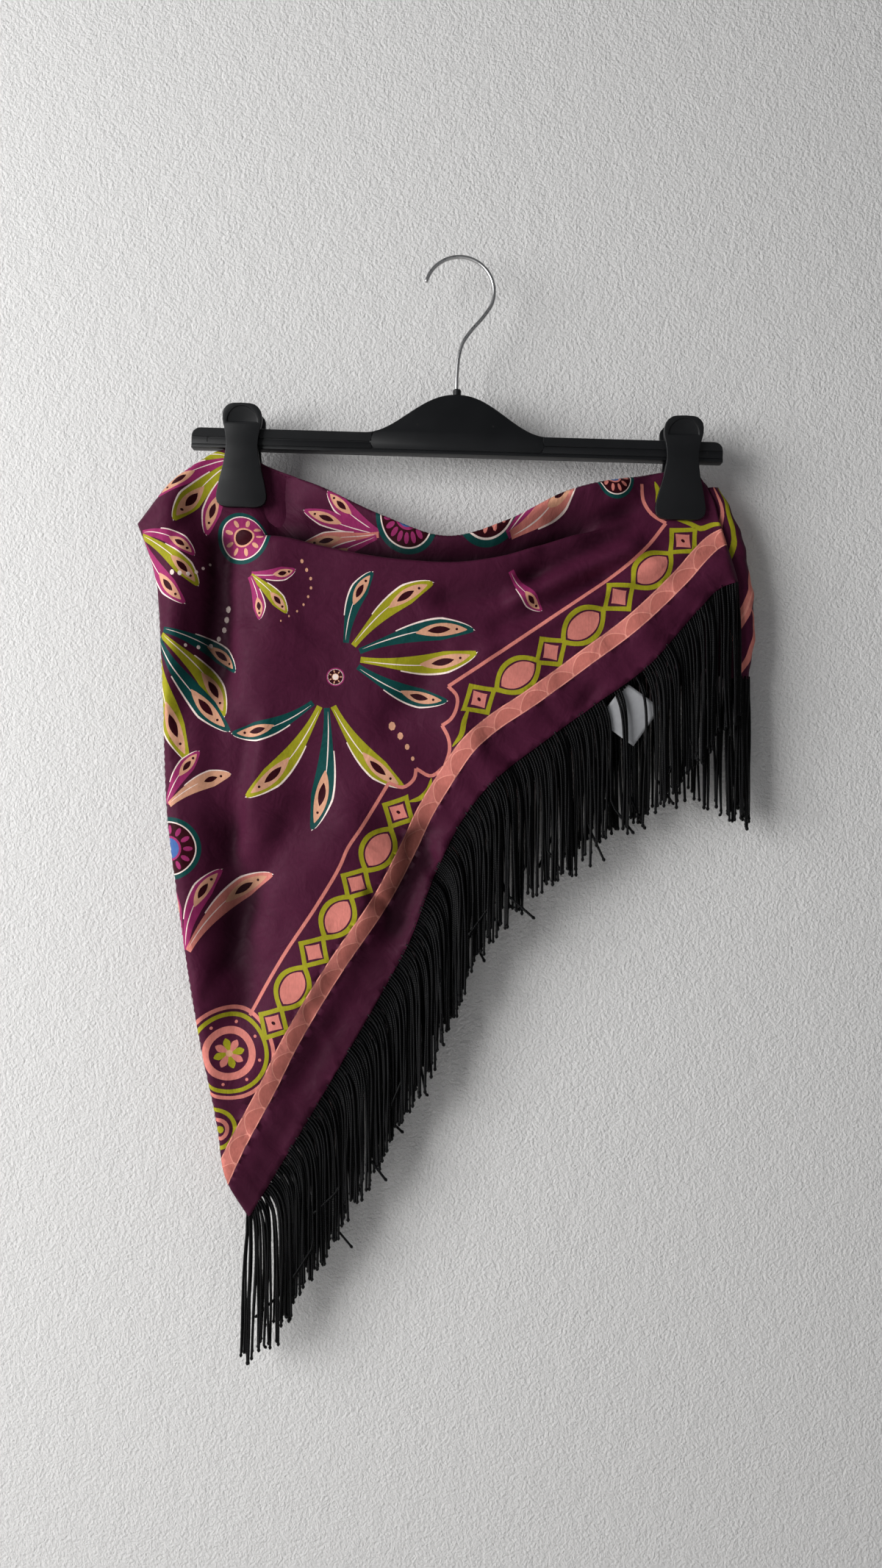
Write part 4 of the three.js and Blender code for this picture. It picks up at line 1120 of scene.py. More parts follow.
@dataclass
class PrintedSheet:
    """A sheet of printed satin on the form of one hanging layer."""

    name: str
    layer: Layer
    shapes: list[Shape]
    step: float = 4.2
    edge_rows: tuple[float, ...] = (0.4, 1.0, 1.9, 3.1, 4.7, 6.9, 9.6)
    outward: float = -1.0
    extra_rows: tuple[float, ...] = ()
    # the least distance of a row's point, and of the net's, to what is there already
    row_gap: float = 0.36
    net_gap: float = 1.7

    def rim(self) -> Array:
        """The sheet's own edge, unrolled, going round it once."""
        fine = np.linspace(0, 1, 161)[:-1]
        one, none = np.ones_like(fine), np.zeros_like(fine)
        sides = [(fine, none), (one, fine), (1 - fine, one), (none, 1 - fine)]
        loop = np.vstack([self.layer.unrolled(s, v) for s, v in sides])
        keep = [0]
        for i in range(1, len(loop)):
            if norms(loop[i] - loop[keep[-1]]) > 1.5 and norms(loop[i] - loop[0]) > 1.0:
                keep.append(i)
        return loop[keep]

    def apart(self, *places: Row) -> float:
        """How far apart two places on the cloth lie, unrolled."""
        one, other = (self.layer.unrolled(*(np.array([share]) for share in place)) for place in places)
        return float(norms(one - other)[0])

    def fill(self, rim: Array) -> tuple[Array, Array]:
        """Points inside the sheet.

        Args:
            rim: the sheet's own edge.

        Returns:
            Rows of points along its turned edges and its tuck, and an even net.
        """
        fine = np.linspace(0.003, 0.997, 150)
        width = self.apart((0.0, 0.5), (1.0, 0.5))
        tall = self.apart((0.4, 0.83), (0.4, 1.0)) / 0.17
        columns = [s for inset in self.edge_rows for s in (inset / width, 1 - inset / width)]
        levels = [*(1 - inset / tall for inset in self.edge_rows), *self.extra_rows]
        rows = [self.layer.unrolled(np.full_like(fine, s), fine) for s in columns]
        rows += [self.layer.unrolled(fine, np.full_like(fine, v)) for v in levels]
        low, high = rim.min(axis=0), rim.max(axis=0)
        net = []
        for k, z in enumerate(np.arange(low[1], high[1], self.step * 0.866)):
            xs = np.arange(low[0] + (k % 2) * self.step / 2, high[0], self.step)
            net.append(np.column_stack([xs, np.full_like(xs, z)]))
        return np.vstack(rows or [np.empty((0, 2))]), np.vstack(net)

    @staticmethod
    def thinned(points: Array, kept: Array, gap: float) -> Array:
        """Drops points that lie closer than gap to kept ones, or to each other.

        Args:
            points: the points to thin, the most wanted first.
            kept: points that stay.
            gap: the least distance.

        Returns:
            The points that are left.
        """
        cells: dict[tuple[int, int], list[tuple[float, float]]] = {}

        def near(x: float, z: float) -> bool:
            """Whether a kept point lies within the gap."""
            i, j = int(x // gap), int(z // gap)
            return any(
                hypot(x - a, z - b) < gap
                for di in (-1, 0, 1) for dj in (-1, 0, 1) for a, b in cells.get((i + di, j + dj), ())
            )

        for x, z in kept:
            cells.setdefault((int(x // gap), int(z // gap)), []).append((x, z))
        left = []
        for x, z in points:
            if not near(x, z):
                cells.setdefault((int(x // gap), int(z // gap)), []).append((x, z))
                left.append((x, z))
        return np.array(left).reshape(-1, 2)

    def build(self, material: Material, thickness: float = 0.5) -> Object:
        """Cuts the sheet along its printed outlines, hangs it and colours it.

        Args:
            material: the satin.
            thickness: the cloth's thickness.

        Returns:
            The sheet.
        """
        rim = self.rim()
        loops = [rim, *(shape.outline for shape in self.shapes)]
        corners = np.vstack(loops)
        rows, net = self.fill(rim)
        rows = self.thinned(rows, corners, self.row_gap)
        net = self.thinned(net, np.vstack([corners, rows]), self.net_gap)
        coords = [Vector(p) for p in np.vstack([corners, rows, net])]
        edges, start = [], 0
        for loop in loops:
            count = len(loop)
            edges += [(start + i, start + (i + 1) % count) for i in range(count)]
            start += count
        verts, _, tris, *_ = delaunay_2d_cdt(coords, edges, [], 0, 1e-4)
        places = np.array([tuple(vert) for vert in verts])
        tris = np.array(tris)
        middles = places[tris].mean(axis=1)
        inside = self.covers(rim, middles)
        tris, middles = tris[inside], middles[inside]
        top = np.zeros(len(tris), dtype=int)
        for i, shape in enumerate(self.shapes, 1):
            top[self.covers(shape.outline, middles)] = i
        used, index = np.unique(tris, return_inverse=True)
        flat = places[used]
        s, v = self.layer.locate(flat)
        hung = self.layer.point(s, v)
        mesh = mesh_from(self.name, hung, index.reshape(-1, 3).tolist())
        inks = [GROUND, *(shape.ink for shape in self.shapes)]
        # the inks and the painted shade of each vertex go onto the mesh
        self.paint(mesh, flat, [inks[i] for i in top], self.layer.painted_shade(s, v))
        self.face_outward(mesh)
        piece = new_piece(self.name, mesh, material)
        shell = piece.modifiers.new("thickness", "SOLIDIFY")
        shell.thickness = thickness * MM
        shell.offset = -1
        return piece

    @staticmethod
    def covers(outline: Array, points: Array) -> Array:
        """Which points an outline winds round.

        Args:
            outline: the outline's points, going round it once.
            points: the points to try.

        Returns:
            True for each point that is inside.
        """
        found = np.zeros(len(points), dtype=bool)
        low, high = outline.min(axis=0), outline.max(axis=0)
        near = np.flatnonzero(np.all((points >= low) & (points <= high), axis=1))
        x, z = points[near].T
        turns = np.zeros(len(near), dtype=int)
        for (x0, z0), (x1, z1) in zip(outline, np.roll(outline, -1, axis=0)):
            left = (x1 - x0) * (z - z0) - (x - x0) * (z1 - z0)
            turns += (z0 <= z) & (z1 > z) & (left > 0)
            turns -= ((z0 > z) & (z1 <= z) & (left < 0)).astype(int)
        found[near] = turns != 0
        return found

    def face_outward(self, mesh: Mesh) -> None:
        """Turns the faces so that most of them look the sheet's own way out."""
        net = sum(face.normal.y * face.area for face in mesh.polygons)
        if net * self.outward < 0:
            mesh.flip_normals()

    @staticmethod
    def paint(mesh: Mesh, flat: Array, inks: Sequence[Ink], painted_shade: Array) -> None:
        """Gives each face its ink, each corner its place on the flat cloth, and each vertex its painted
        shade.

        Args:
            mesh: the sheet.
            flat: the flat place of each vertex, in millimetres.
            inks: the ink of each face.
            painted_shade: how much painted shade darkens each vertex, for lying deep in a fold.
        """
        linear = {ink: (*srgb(*ink.value), 1.0) for ink in Ink}
        corner_vertex = np.empty(len(mesh.loops), dtype=np.int64)
        mesh.loops.foreach_get("vertex_index", corner_vertex)
        uv = mesh.uv_layers.new(name="cloth")
        uv.uv.foreach_set("vector", (flat[corner_vertex] * MM).ravel())
        colours = np.repeat(np.array([linear[ink] for ink in inks]), 3, axis=0)
        dye = mesh.color_attributes.new("dye", "FLOAT_COLOR", "CORNER")
        dye.data.foreach_set("color", colours.ravel())
        # painted shade: a vertex attribute that the satin multiplies into the dye
        deep = mesh.attributes.new("painted_shade", "FLOAT", "POINT")
        deep.data.foreach_set("value", painted_shade)


# ---- tubes and fringe
def tube(line: Array, radius: Array, sides: int) -> Array:
    """Rings of points round a line.

    Args:
        line: rows of x, y, z.
        radius: the tube's radius at each of them.
        sides: how many points a ring has.

    Returns:
        Rows of x, y, z, ring after ring.
    """
    around = np.linspace(0, 2 * pi, sides, endpoint=False)[None, :, None]
    along = np.gradient(line, axis=0)
    along /= np.linalg.norm(along, axis=1)[:, None]
    across = np.cross(along, [0, 1, 0])
    across /= np.linalg.norm(across, axis=1)[:, None]
    depth = np.cross(along, across)
    ring = across[:, None, :] * np.cos(around) + depth[:, None, :] * np.sin(around)
    return (line[:, None, :] + ring * radius[:, None, None]).reshape(-1, 3)


def tube_faces(rings: int, sides: int, start: int = 0) -> list[tuple[int, ...]]:
    """The faces of a tube, ring after ring, then its far end and its near one.

    Args:
        rings, sides: how many rings it has, and how many points a ring has.
        start: the number of its first point.

    Returns:
        The corners of each face.
    """
    ring, last = range(sides), start + (rings - 1) * sides
    pairs = [(low + k, low + (k + 1) % sides) for low in range(start, last, sides) for k in ring]
    walls = [(a, b, b + sides, a + sides) for a, b in pairs]
    return [*walls, tuple(last + k for k in ring), tuple(start + k for k in reversed(ring))]


@dataclass
class Fringe:
    """A row of cords hung from a hem, which curve out of it and then fall."""

    name: str
    roots: Array
    outs: Array
    drop: float
    seed: int
    radius: float = 0.93
    sides: int = 6
    rings: int = 19
    # where the last three rings lie before the cord's end, and their radius over the cord's
    knot: Row = (2.6, 1.2, 0.0)
    knot_swell: Row = (0.9, 1.35, 0.6)
    depth_lean: float = -1.0
    settle: float = 13.0
    strays: tuple[int, ...] = ()
    swing: float = -4.0
    # the ranges of drawn x where cords are pushed back, and how far
    parted: tuple[Row, ...] = ()
    parted_by: float = 8.5
    calm: tuple[int, int] = (12, 50)

    def cord(self, i: int, rng: random.Random) -> Array:
        """The middle line of one cord.

        Args:
            i: its number, from the cloth's point.
            rng: where its unevenness comes from.

        Returns:
            Rows of x, y, z.
        """
        length = self.drop + rng.uniform(-6, 3) + 3 * sin(i * 0.19) + 3 * sin(i * 0.83)
        run = length * np.linspace(0, 1, self.rings) ** 1.35
        run[-3:] = length - np.array(self.knot)
        out = self.outs[i]
        first, last = ease(-1, self.calm[0], float(i)), ease(0, self.calm[1], float(len(self.roots) - i))
        tilt = atan2(out[0], -out[1]) * (0.82 + rng.uniform(-0.05, 0.05))
        tilt = tilt * float(first * (0.15 + 0.85 * last))
        lean = rng.gauss(0, 0.012) + self.swing * exp(-i / 6) / self.drop
        wave = rng.uniform(0, 6.28)
        heading = tilt * np.exp(-((run / self.settle) ** 1.3)) + lean + 0.03 * np.sin(run / 15 + wave)
        if i in self.strays:
            turn = rng.choice((-1, 1)) * rng.uniform(0.3, 0.9)
            bend = rng.uniform(0.7, 0.88)
            heading = heading + turn * ease(length * (bend - 0.04), length * (bend + 0.03), run)
        step = np.diff(run)
        x, z = totals(np.sin(heading[:-1]) * step), -totals(np.cos(heading[:-1]) * step)
        stand = rng.uniform(-1.3, 1.3)
        y = self.depth_lean * ease(0, 30, run) + stand * ease(0, 25, run) + 0.5 * np.sin(run / 21 + 2 * wave)
        if any(low < self.roots[i][0] < high for low, high in self.parted):
            y = y + self.parted_by * ease(0, 7, run)
        return self.roots[i] + np.column_stack([x, y, z])

    def build(self, material: Material) -> Object:
        """Makes all the cords as one piece."""
        rng = random.Random(self.seed)
        points, faces, uvs = [], [], []
        k, r = np.arange(self.sides), np.arange(self.rings - 1)
        # the turn round the cord and the ring of each face's corners, in the order of tube_faces
        turn = [np.tile(np.column_stack([k, k + 1, k + 1, k]).ravel(), len(r)), k, k]
        ring = [(r[:, None] + np.tile([0, 0, 1, 1], self.sides)).ravel(), 0 * k + len(r), 0 * k]
        turn, ring = np.concatenate(turn) / self.sides, np.concatenate(ring)
        for i in range(len(self.roots)):
            line = self.cord(i, rng)
            radius = self.radius * (1 + 0.08 * rng.uniform(-1, 1)) * np.ones(len(line))
            radius[-3:] *= self.knot_swell
            points.append(tube(line, radius, self.sides))
            faces += tube_faces(self.rings, self.sides, i * self.rings * self.sides)
            run = totals(np.linalg.norm(np.diff(line, axis=0), axis=1))
            uvs.append(np.column_stack([turn, run[ring]]))
        mesh = mesh_from(self.name, np.vstack(points), faces)
        mesh.uv_layers.new(name="cord").uv.foreach_set("vector", np.vstack(uvs).ravel())
        bm = bmesh.new()
        bm.from_mesh(mesh)
        bmesh.ops.recalc_face_normals(bm, faces=bm.faces)
        bm.to_mesh(mesh)
        bm.free()
        return new_piece(self.name, mesh, material)


def hem_roots(layer: Layer, pitch: float, sunk: float, side: float) -> tuple[Array, Array]:
    """Where cords leave a hem.

    Args:
        layer: the layer whose hem it is.
        pitch: how far apart the cords are.
        sunk: how far inside the hem their roots lie.
        side: the way the layer faces, -1 for the front.

    Returns:
        The roots as x, y, z, and the way out of the hem in x, z.
    """
    fine = np.linspace(0, 1, 600)
    line = layer.point(fine, 0 * fine)
    run = totals(np.linalg.norm(np.diff(line, axis=0), axis=1))
    count = int(run[-1] / pitch)
    marks = (np.arange(count) + 0.5) * run[-1] / count
    points = np.column_stack([np.interp(marks, run, line[:, k]) for k in range(3)])
    ends = np.minimum(marks + 9, run[-1]), np.maximum(marks - 9, 0)
    ahead, behind = (np.column_stack([np.interp(end, run, line[:, k]) for k in (0, 2)]) for end in ends)
    along = ahead - behind
    along /= norms(along)[:, None]
    outs = np.column_stack([along[:, 1], -along[:, 0]])
    outs[outs[:, 1] > 0] *= -1
    points[:, [0, 2]] -= outs * sunk
    points[:, 1] -= side * 1.3
    return points, outs


# ---- hanger
def outline_solid(points: Sequence[Row], near: float, far: float, edge: float, segments: int = 3) -> BMesh:
    """A plate with rounded rims.

    Args:
        points: its outline in x, z.
        near, far: the y of its front and of its back.
        edge: the radius of its rims.
        segments: how many facets round a rim has.

    Returns:
        The plate as a bmesh, in millimetres.
    """
    bm = bmesh.new()
    face = bm.faces.new([bm.verts.new((x, near, z)) for x, z in points])
    made = bmesh.ops.extrude_face_region(bm, geom=[face])
    moved = [v for v in made["geom"] if isinstance(v, BMVert)]
    bmesh.ops.translate(bm, verts=moved, vec=(0, far - near, 0))
    bmesh.ops.recalc_face_normals(bm, faces=bm.faces)
    if edge > 0:
        bevel(bm, [e for e in bm.edges if abs(e.verts[0].co.y - e.verts[1].co.y) < 1e-6], edge, segments)
    return bm


def bevel(bm: BMesh, edges: Sequence[BMEdge], size: float, segments: int, clamp: bool = False) -> None:
    """Rounds edges over."""
    bmesh.ops.bevel(bm, geom=list(edges), offset=size, segments=segments, profile=0.5, affect="EDGES",
                    material=-1, clamp_overlap=clamp)


def finish_mesh(name: str, bm: BMesh, place: Matrix, sharp: float = 32.0) -> Mesh:
    """Turns a bmesh in drawn millimetres into a smooth mesh in the frame.

    Args:
        name: the mesh's name.
        bm: the bmesh, which is freed.
        place: where it goes on the drawing.
        sharp: the angle in degrees past which an edge stays sharp.

    Returns:
        The mesh.
    """
    bmesh.ops.transform(bm, matrix=Matrix.Scale(MM, 4) @ Matrix.Translation(HANG) @ place, verts=bm.verts)
    bmesh.ops.remove_doubles(bm, verts=bm.verts, dist=1e-6)
    bmesh.ops.recalc_face_normals(bm, faces=bm.faces)
    mesh = mesh_of(name, bm)
    mesh.polygons.foreach_set("use_smooth", [True] * len(mesh.polygons))
    mesh.set_sharp_from_angle(angle=radians(sharp))
    return mesh


def joined(parts: Sequence[BMesh]) -> BMesh:
    """Puts several bmeshes into one and frees them."""
    whole = bmesh.new()
    for part in parts:
        mesh = mesh_of("part", part)
        whole.from_mesh(mesh)
        bpy.data.meshes.remove(mesh)
    return whole


@dataclass
class Hanger:
    """The moulded bar with its hump, collar and wire hook."""

    length: float = 360.0
    height: float = 13.6
    depth: float = 10.0
    end_round: float = 6.0
    hump_middle: float = -1.1
    hump_half: float = 62.0
    hump_rise: float = 27.0
    hump_crown: float = 1.08
    plate_half: float = 56.0
    # how far the core lies behind the rails and the plate, and how deep these sit in it
    rail_rise: float = 0.7
    rail_sunk: float = 0.3
    upper_trim: float = 0.45
    # half the groove between the rails, and the height of the lower rail's foot
    groove_half: float = 0.35
    foot: float = 2.2
    pins: tuple[float, ...] = (-27.2, 24.0)
    pin_up: float = 12.5
    notch_from_end: float = 11.0
    notch_tall: float = 3.4
    collar_profile: tuple[Row, ...] = ((1.42, 0), (2.6, 0), (2.8, 0.2), (2.8, 3.7), (2.2, 4.4), (1.42, 4.4))
    # the hook: its wire, the middle and radius of its bend, where the bend runs, its neck and its tip
    hook_wire: float = 2.6
    hook_sides: int = 16
    hook_bend: Row = (1.5, -20.2, 23.6)
    hook_turn: Row = (164, -24)
    hook_neck: tuple[Row, ...] = (
        (17.7, -37.6), (9.1, -47.4), (3.7, -55.5), (1.2, -64.1), (0, -75), (-0.4, -84), (-0.4, -94),
    )
    hook_tip: float = 0.25
    hook_tip_swell: Row = (0.45, 0.82)

    def place(self) -> Matrix:
        """Where the hanger's own middle goes on the drawing."""
        return Matrix.Translation((0, 0, HANGER_MIDDLE)) @ spun(HANGER_TILT, "Y")

    def hump(self, x: float) -> float:
        """How far the top edge rises at x."""
        reach = min(abs(x - self.hump_middle) / self.hump_half, 1)
        return self.hump_rise * (1 + cos(pi * reach**self.hump_crown)) / 2

    def top_edge(self, low: float, high: float, inset: float) -> list[Row]:
        """Points along the top edge from high to low, moved in by inset."""
        xs = np.linspace(high, low, 61)
        return [(float(x), self.height / 2 + self.hump(float(x)) - inset) for x in xs]

    def bar(self, material: Material) -> Object:
        """The bar: a core with raised rails and a raised plate in its middle, a groove between them."""
        end, half, deep, wide = self.length / 2, self.height / 2, self.depth / 2, self.plate_half
        bend, bottom, groove = self.end_round, -self.height / 2, self.groove_half
        corner = [
            (end - bend + bend * cos(a), half - bend + bend * sin(a))
            for a in np.linspace(0, pi / 2, 8)
        ]
        hump_points = self.top_edge(self.hump_middle - self.hump_half, self.hump_middle + self.hump_half, 0)
        core = [(-end, bottom), (end, bottom), *corner, *hump_points, *((-x, z) for x, z in reversed(corner))]
        foot = bottom + self.foot
        plate = [
            (-wide, foot), (wide, foot), (wide + 3.5, -0.3), (wide + 1, half - 0.8),
            *self.top_edge(-wide + 1, wide - 1, 0.9), (-wide - 1, half - 0.8), (-wide - 3.5, -0.3),
        ]
        edge, top = end - 0.2, bottom + 1.9
        strip = [(-edge, bottom), (edge, bottom), (edge, top), (-edge, top)]
        parts = [outline_solid(core, -deep + self.rail_rise, deep - self.rail_rise, 1.0)]
        for face in (-1, 1):
            near, far = sorted((face * deep, face * (deep - self.rail_rise - self.rail_sunk)))
            upper_faces = (near, far - self.upper_trim) if face < 0 else (near + self.upper_trim, far)
            for side in (-1, 1):
                inner, outer = side * (wide + 2), side * (end - 0.6)
                a, b = sorted((inner, outer))
                rounded = [(side * (x - 0.6), z - 0.5) for x, z in corner if z - 0.5 > 0.5]
                upper = [(inner, groove), (outer, groove), *rounded, (inner, half - 0.5)]
                lower = [(a, foot), (b, foot), (b, -groove), (a, -groove)]
                parts.append(outline_solid(upper, *upper_faces, 0.15, 1))
                parts.append(outline_solid(lower, near, far, 0.25, 2))
            parts.append(outline_solid(plate, near, far, 0.3, 2))
            parts.append(outline_solid(strip, *sorted((face * (deep - 1.4), face * (deep - 0.35))), 0.3, 2))
        mesh = finish_mesh("bar", joined(parts), self.place())
        return new_piece("bar", mesh, material)

    def pin_marks(self, material: Material) -> Object:
        """The two mould marks on the plate and the two small notches, as plugs of darker, rougher plastic:
        their darker colour is painted shade for their sunk faces.
        """
        parts, front = [], -self.depth / 2
        for x in self.pins:
            bm = bmesh.new()
            bmesh.ops.create_cone(bm, cap_ends=True, segments=16, radius1=0.8, radius2=0.8, depth=1.0)
            bevel(bm, list(bm.edges), 0.12, 1)
            turn = Matrix.Translation((x, front + 0.46, self.pin_up)) @ spun(90, "X")
            bmesh.ops.transform(bm, matrix=turn, verts=bm.verts)
            parts.append(bm)
        for side in (-1, 1):
            x, low = side * (self.length / 2 - self.notch_from_end), -self.notch_tall
            notch = [(x - 0.5, low), (x + 0.5, low), (x + 0.5, 0), (x - 0.5, 0)]
            parts.append(outline_solid(notch, front - 0.03, front + 0.6, 0.1, 1))
        mesh = finish_mesh("mould_marks", joined(parts), self.place())
        return new_piece("mould_marks", mesh, material)

    def collar(self, material: Material) -> Object:
        """The collar round the hook's foot."""
        bm = bmesh.new()
        verts = [bm.verts.new((r, 0, z)) for r, z in self.collar_profile]
        edges = [bm.edges.new(pair) for pair in zip(verts, verts[1:] + verts[:1])]
        bmesh.ops.spin(bm, geom=[*verts, *edges], cent=(0, 0, 0), axis=(0, 0, 1), angle=2 * pi, steps=36,
                       use_merge=True)
        lift = Matrix.Translation((self.hump_middle, 0, self.height / 2 + self.hump_rise + 0.1))
        mesh = finish_mesh("collar", bm, self.place() @ lift)
        return new_piece("collar", mesh, material)

    def hook(self, material: Material) -> Object:
        """The wire hook, a smooth round tube with a rounded tip."""
        x, z, bend = self.hook_bend
        angles = np.radians(np.linspace(*self.hook_turn, 15))
        arc = [(x + bend * cos(a), z + bend * sin(a)) for a in angles]
        line = Outline([*arc, *self.hook_neck]).at(np.linspace(0, 1, 150))
        first = line[1] - line[0]
        line = np.vstack([line[0] - first / norms(first) * self.hook_tip, line])
        radius = np.full(len(line), self.hook_wire / 2)
        radius[:2] *= self.hook_tip_swell
        bm = bmesh.new()
        points = tube(np.insert(line, 1, 0.0, axis=1), radius, self.hook_sides)
        rings = [[bm.verts.new(point) for point in ring] for ring in points.reshape(len(line), -1, 3)]
        loops = [[bm.edges.new(pair) for pair in zip(ring, ring[1:] + ring[:1])] for ring in rings]
        for near, far in zip(loops, loops[1:]):
            bmesh.ops.bridge_loops(bm, edges=near + far)
        for ring in (rings[0], rings[-1][::-1]):
            bm.faces.new(ring)
        mesh = finish_mesh("hook_wire", bm, Matrix.Identity(4), 60)
        return new_piece("hook_wire", mesh, material)


@dataclass
class Clip:
    """One clip: two bent jaws on the bar."""

    name: str
    along: float
    plate: float = 3.4
    edge: float = 0.9
    # half of its outline: out, up
    half: tuple[Row, ...] = (
        (0, -46.8), (11, -46.6), (15.4, -44.8), (17, -40.6), (15.6, -31), (12.2, -17), (10.7, -5), (11.8, 4),
        (13.3, 11), (12.4, 17), (8.4, 20.6), (0, 21.4),
    )
    # the inner face: up, away from the middle
    face: tuple[Row, ...] = ((-48, 2.3), (-35, 2.3), (-22, 3.7), (-8, 5.3), (7, 5.3), (23, 9.4))
    # the thumb's recess: half its width, its foot, its top, its depth
    recess: Row = (10.2, 9.6, 19.6, 0.8)
    crown: float = 0.5
    crown_half: float = 15.0

    def bend(self, up: Array) -> Array:
        """How far the inner face stands from the middle at heights up."""
        line = Outline(self.face).at(np.linspace(0, 1, 200))
        return np.interp(up, line[:, 0], line[:, 1])

    def cut_recess(self, bm: BMesh) -> BMesh:
        """Sinks the thumb's place into the flat plate.

        Args:
            bm: the flat plate, its outer face towards -Y.

        Returns:
            The plate with the recess.
        """
        wide, floor, top, sunk = self.recess
        arc = [(wide * cos(a), floor + (top - floor) * sin(a)) for a in np.linspace(0, pi, 21)]
        tool = outline_solid(arc, -self.plate - 3, -self.plate + sunk, 0)
        bodies = [put(name, mesh_of(name, part)) for name, part in (("plate", bm), ("tool", tool))]
        cut = bodies[0].modifiers.new("cut", "BOOLEAN")
        cut.object, cut.operation, cut.solver = bodies[1], "DIFFERENCE", "EXACT"
        result = bmesh.new()
        bpy.context.view_layer.update()
        result.from_object(bodies[0], bpy.context.evaluated_depsgraph_get())
        for body in bodies:
            mesh = body.data
            bpy.data.objects.remove(body)
            bpy.data.meshes.remove(mesh)
        return result

    def jaw(self, side: int, material: Material, hanger: Hanger) -> Object:
        """One jaw of the clip.

        Args:
            side: -1 in front, 1 behind.
            material: its plastic.
            hanger: the hanger that carries it.

        Returns:
            The jaw, standing for its CAD node.
        """
        right = Outline(self.half).at(np.linspace(0, 1, 34))
        points = [*map(tuple, right), *((-x, z) for x, z in right[1:-1][::-1])]
        bm = self.cut_recess(outline_solid(points, -self.plate, 0, 0))
        bevel(bm, [e for e in bm.edges if e.is_manifold and e.calc_face_angle(0) > radians(50)],
              self.edge * 0.5, 3, clamp=True)
        for up in np.arange(-44, 21, 2.0):
            bmesh.ops.bisect_plane(bm, geom=[*bm.verts, *bm.edges, *bm.faces], dist=1e-5,
                                   plane_co=(0, 0, up), plane_no=(0, 0, 1))
        for vert in bm.verts:
            inner = float(self.bend(np.array([vert.co.z]))[0])
            vert.co.y -= inner
            if vert.co.y < -inner - 1.5:
                crown = self.crown * max(0.0, 1 - (vert.co.x / self.crown_half) ** 2)
                vert.co.y -= crown * (1 if vert.co.z < -20 else 0.4)
            vert.co.y *= -side
        name = f"clip_{self.name}_{'front' if side < 0 else 'back'}"
        place = hanger.place() @ Matrix.Translation((self.along, 0, 0))
        mesh = finish_mesh(f"{name}_jaw", bm, place, 40)
        piece = new_piece(f"{name}_jaw", mesh, material)
        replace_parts(piece, name)
        return piece


# ---- shader nodes
class Graph:
    """A short way to lay out shader nodes."""

    def __init__(self, tree: NodeTree) -> None:
        """Starts on an empty or new tree."""
        self.tree = tree

    def add(self, kind: str, values: dict[str | int, object] | None = None, **settings: object) -> Node:
        """Adds a node.

        Args:
            kind: its type, without ShaderNode.
            values: each input's value, or the output socket that feeds it.
            settings: the node's own properties.

        Returns:
            The node.
        """
        node = self.tree.nodes.new(kind if kind.startswith("Node") else f"ShaderNode{kind}")
        for key, value in settings.items():
            setattr(node, key, value)
        for key, value in (values or {}).items():
            if isinstance(value, NodeSocket):
                self.tree.links.new(value, node.inputs[key])
            else:
                node.inputs[key].default_value = value
        return node

    def math(self, operation: str, *values: object) -> NodeSocket:
        """Adds a sum and gives its result."""
        return self.add("Math", dict(enumerate(values)), operation=operation).outputs[0]

    def spread(self, mask: NodeSocket, low: float, high: float, half: float = 0.2) -> NodeSocket:
        """Stretches a mask's usual range over another."""
        return self.add("MapRange", {0: mask, 1: 0.5 - half, 2: 0.5 + half, 3: low, 4: high}).outputs[0]

    def toned(self, colour: object, value: NodeSocket) -> NodeSocket:
        """Makes a colour, three numbers or a socket, lighter and darker by a value."""
        colour = (*colour, 1.0) if isinstance(colour, tuple) else colour
        return self.add("HueSaturation", {"Color": colour, "Value": value}).outputs[0]

    def bump(self, strength: float, distance: float, height: NodeSocket, **more: NodeSocket) -> NodeSocket:
        """Turns a height into a normal."""
        values = {"Strength": strength, "Distance": distance, "Height": height, **more}
        return self.add("Bump", values).outputs[0]

    def place(self) -> NodeSocket:
        """Where a point lies in the piece."""
        return self.add("TexCoord").outputs["Object"]

    def surface(self, shader: Node) -> None:
        """Sends a shader to the surface."""
        self.add("OutputMaterial", {"Surface": shader.outputs[0]})


def node_group(name: str, inputs: dict[str, float | Row], outputs: Sequence[str],
               fill: Callable[[Graph, Sockets], Sequence[object]]) -> NodeTree:
    """Makes a shader node group once, and finds it after that.

    Args:
        name: its name.
        inputs: the names of its inputs and their values.
        outputs: the names of its outputs.
        fill: lays out its nodes from its inputs, and gives a socket for each output.

    Returns:
        The group.
    """
    if name in bpy.data.node_groups:
        return bpy.data.node_groups[name]
    tree = bpy.data.node_groups.new(name, "ShaderNodeTree")
    for socket, value in inputs.items():
        kind = "NodeSocketVector" if isinstance(value, tuple) else "NodeSocketFloat"
        tree.interface.new_socket(socket, in_out="INPUT", socket_type=kind).default_value = value
    for socket in outputs:
        tree.interface.new_socket(socket, in_out="OUTPUT", socket_type="NodeSocketFloat")
    g = Graph(tree)
    found = fill(g, g.add("NodeGroupInput").outputs)
    g.add("NodeGroupOutput", dict(zip(outputs, found)))
    return tree


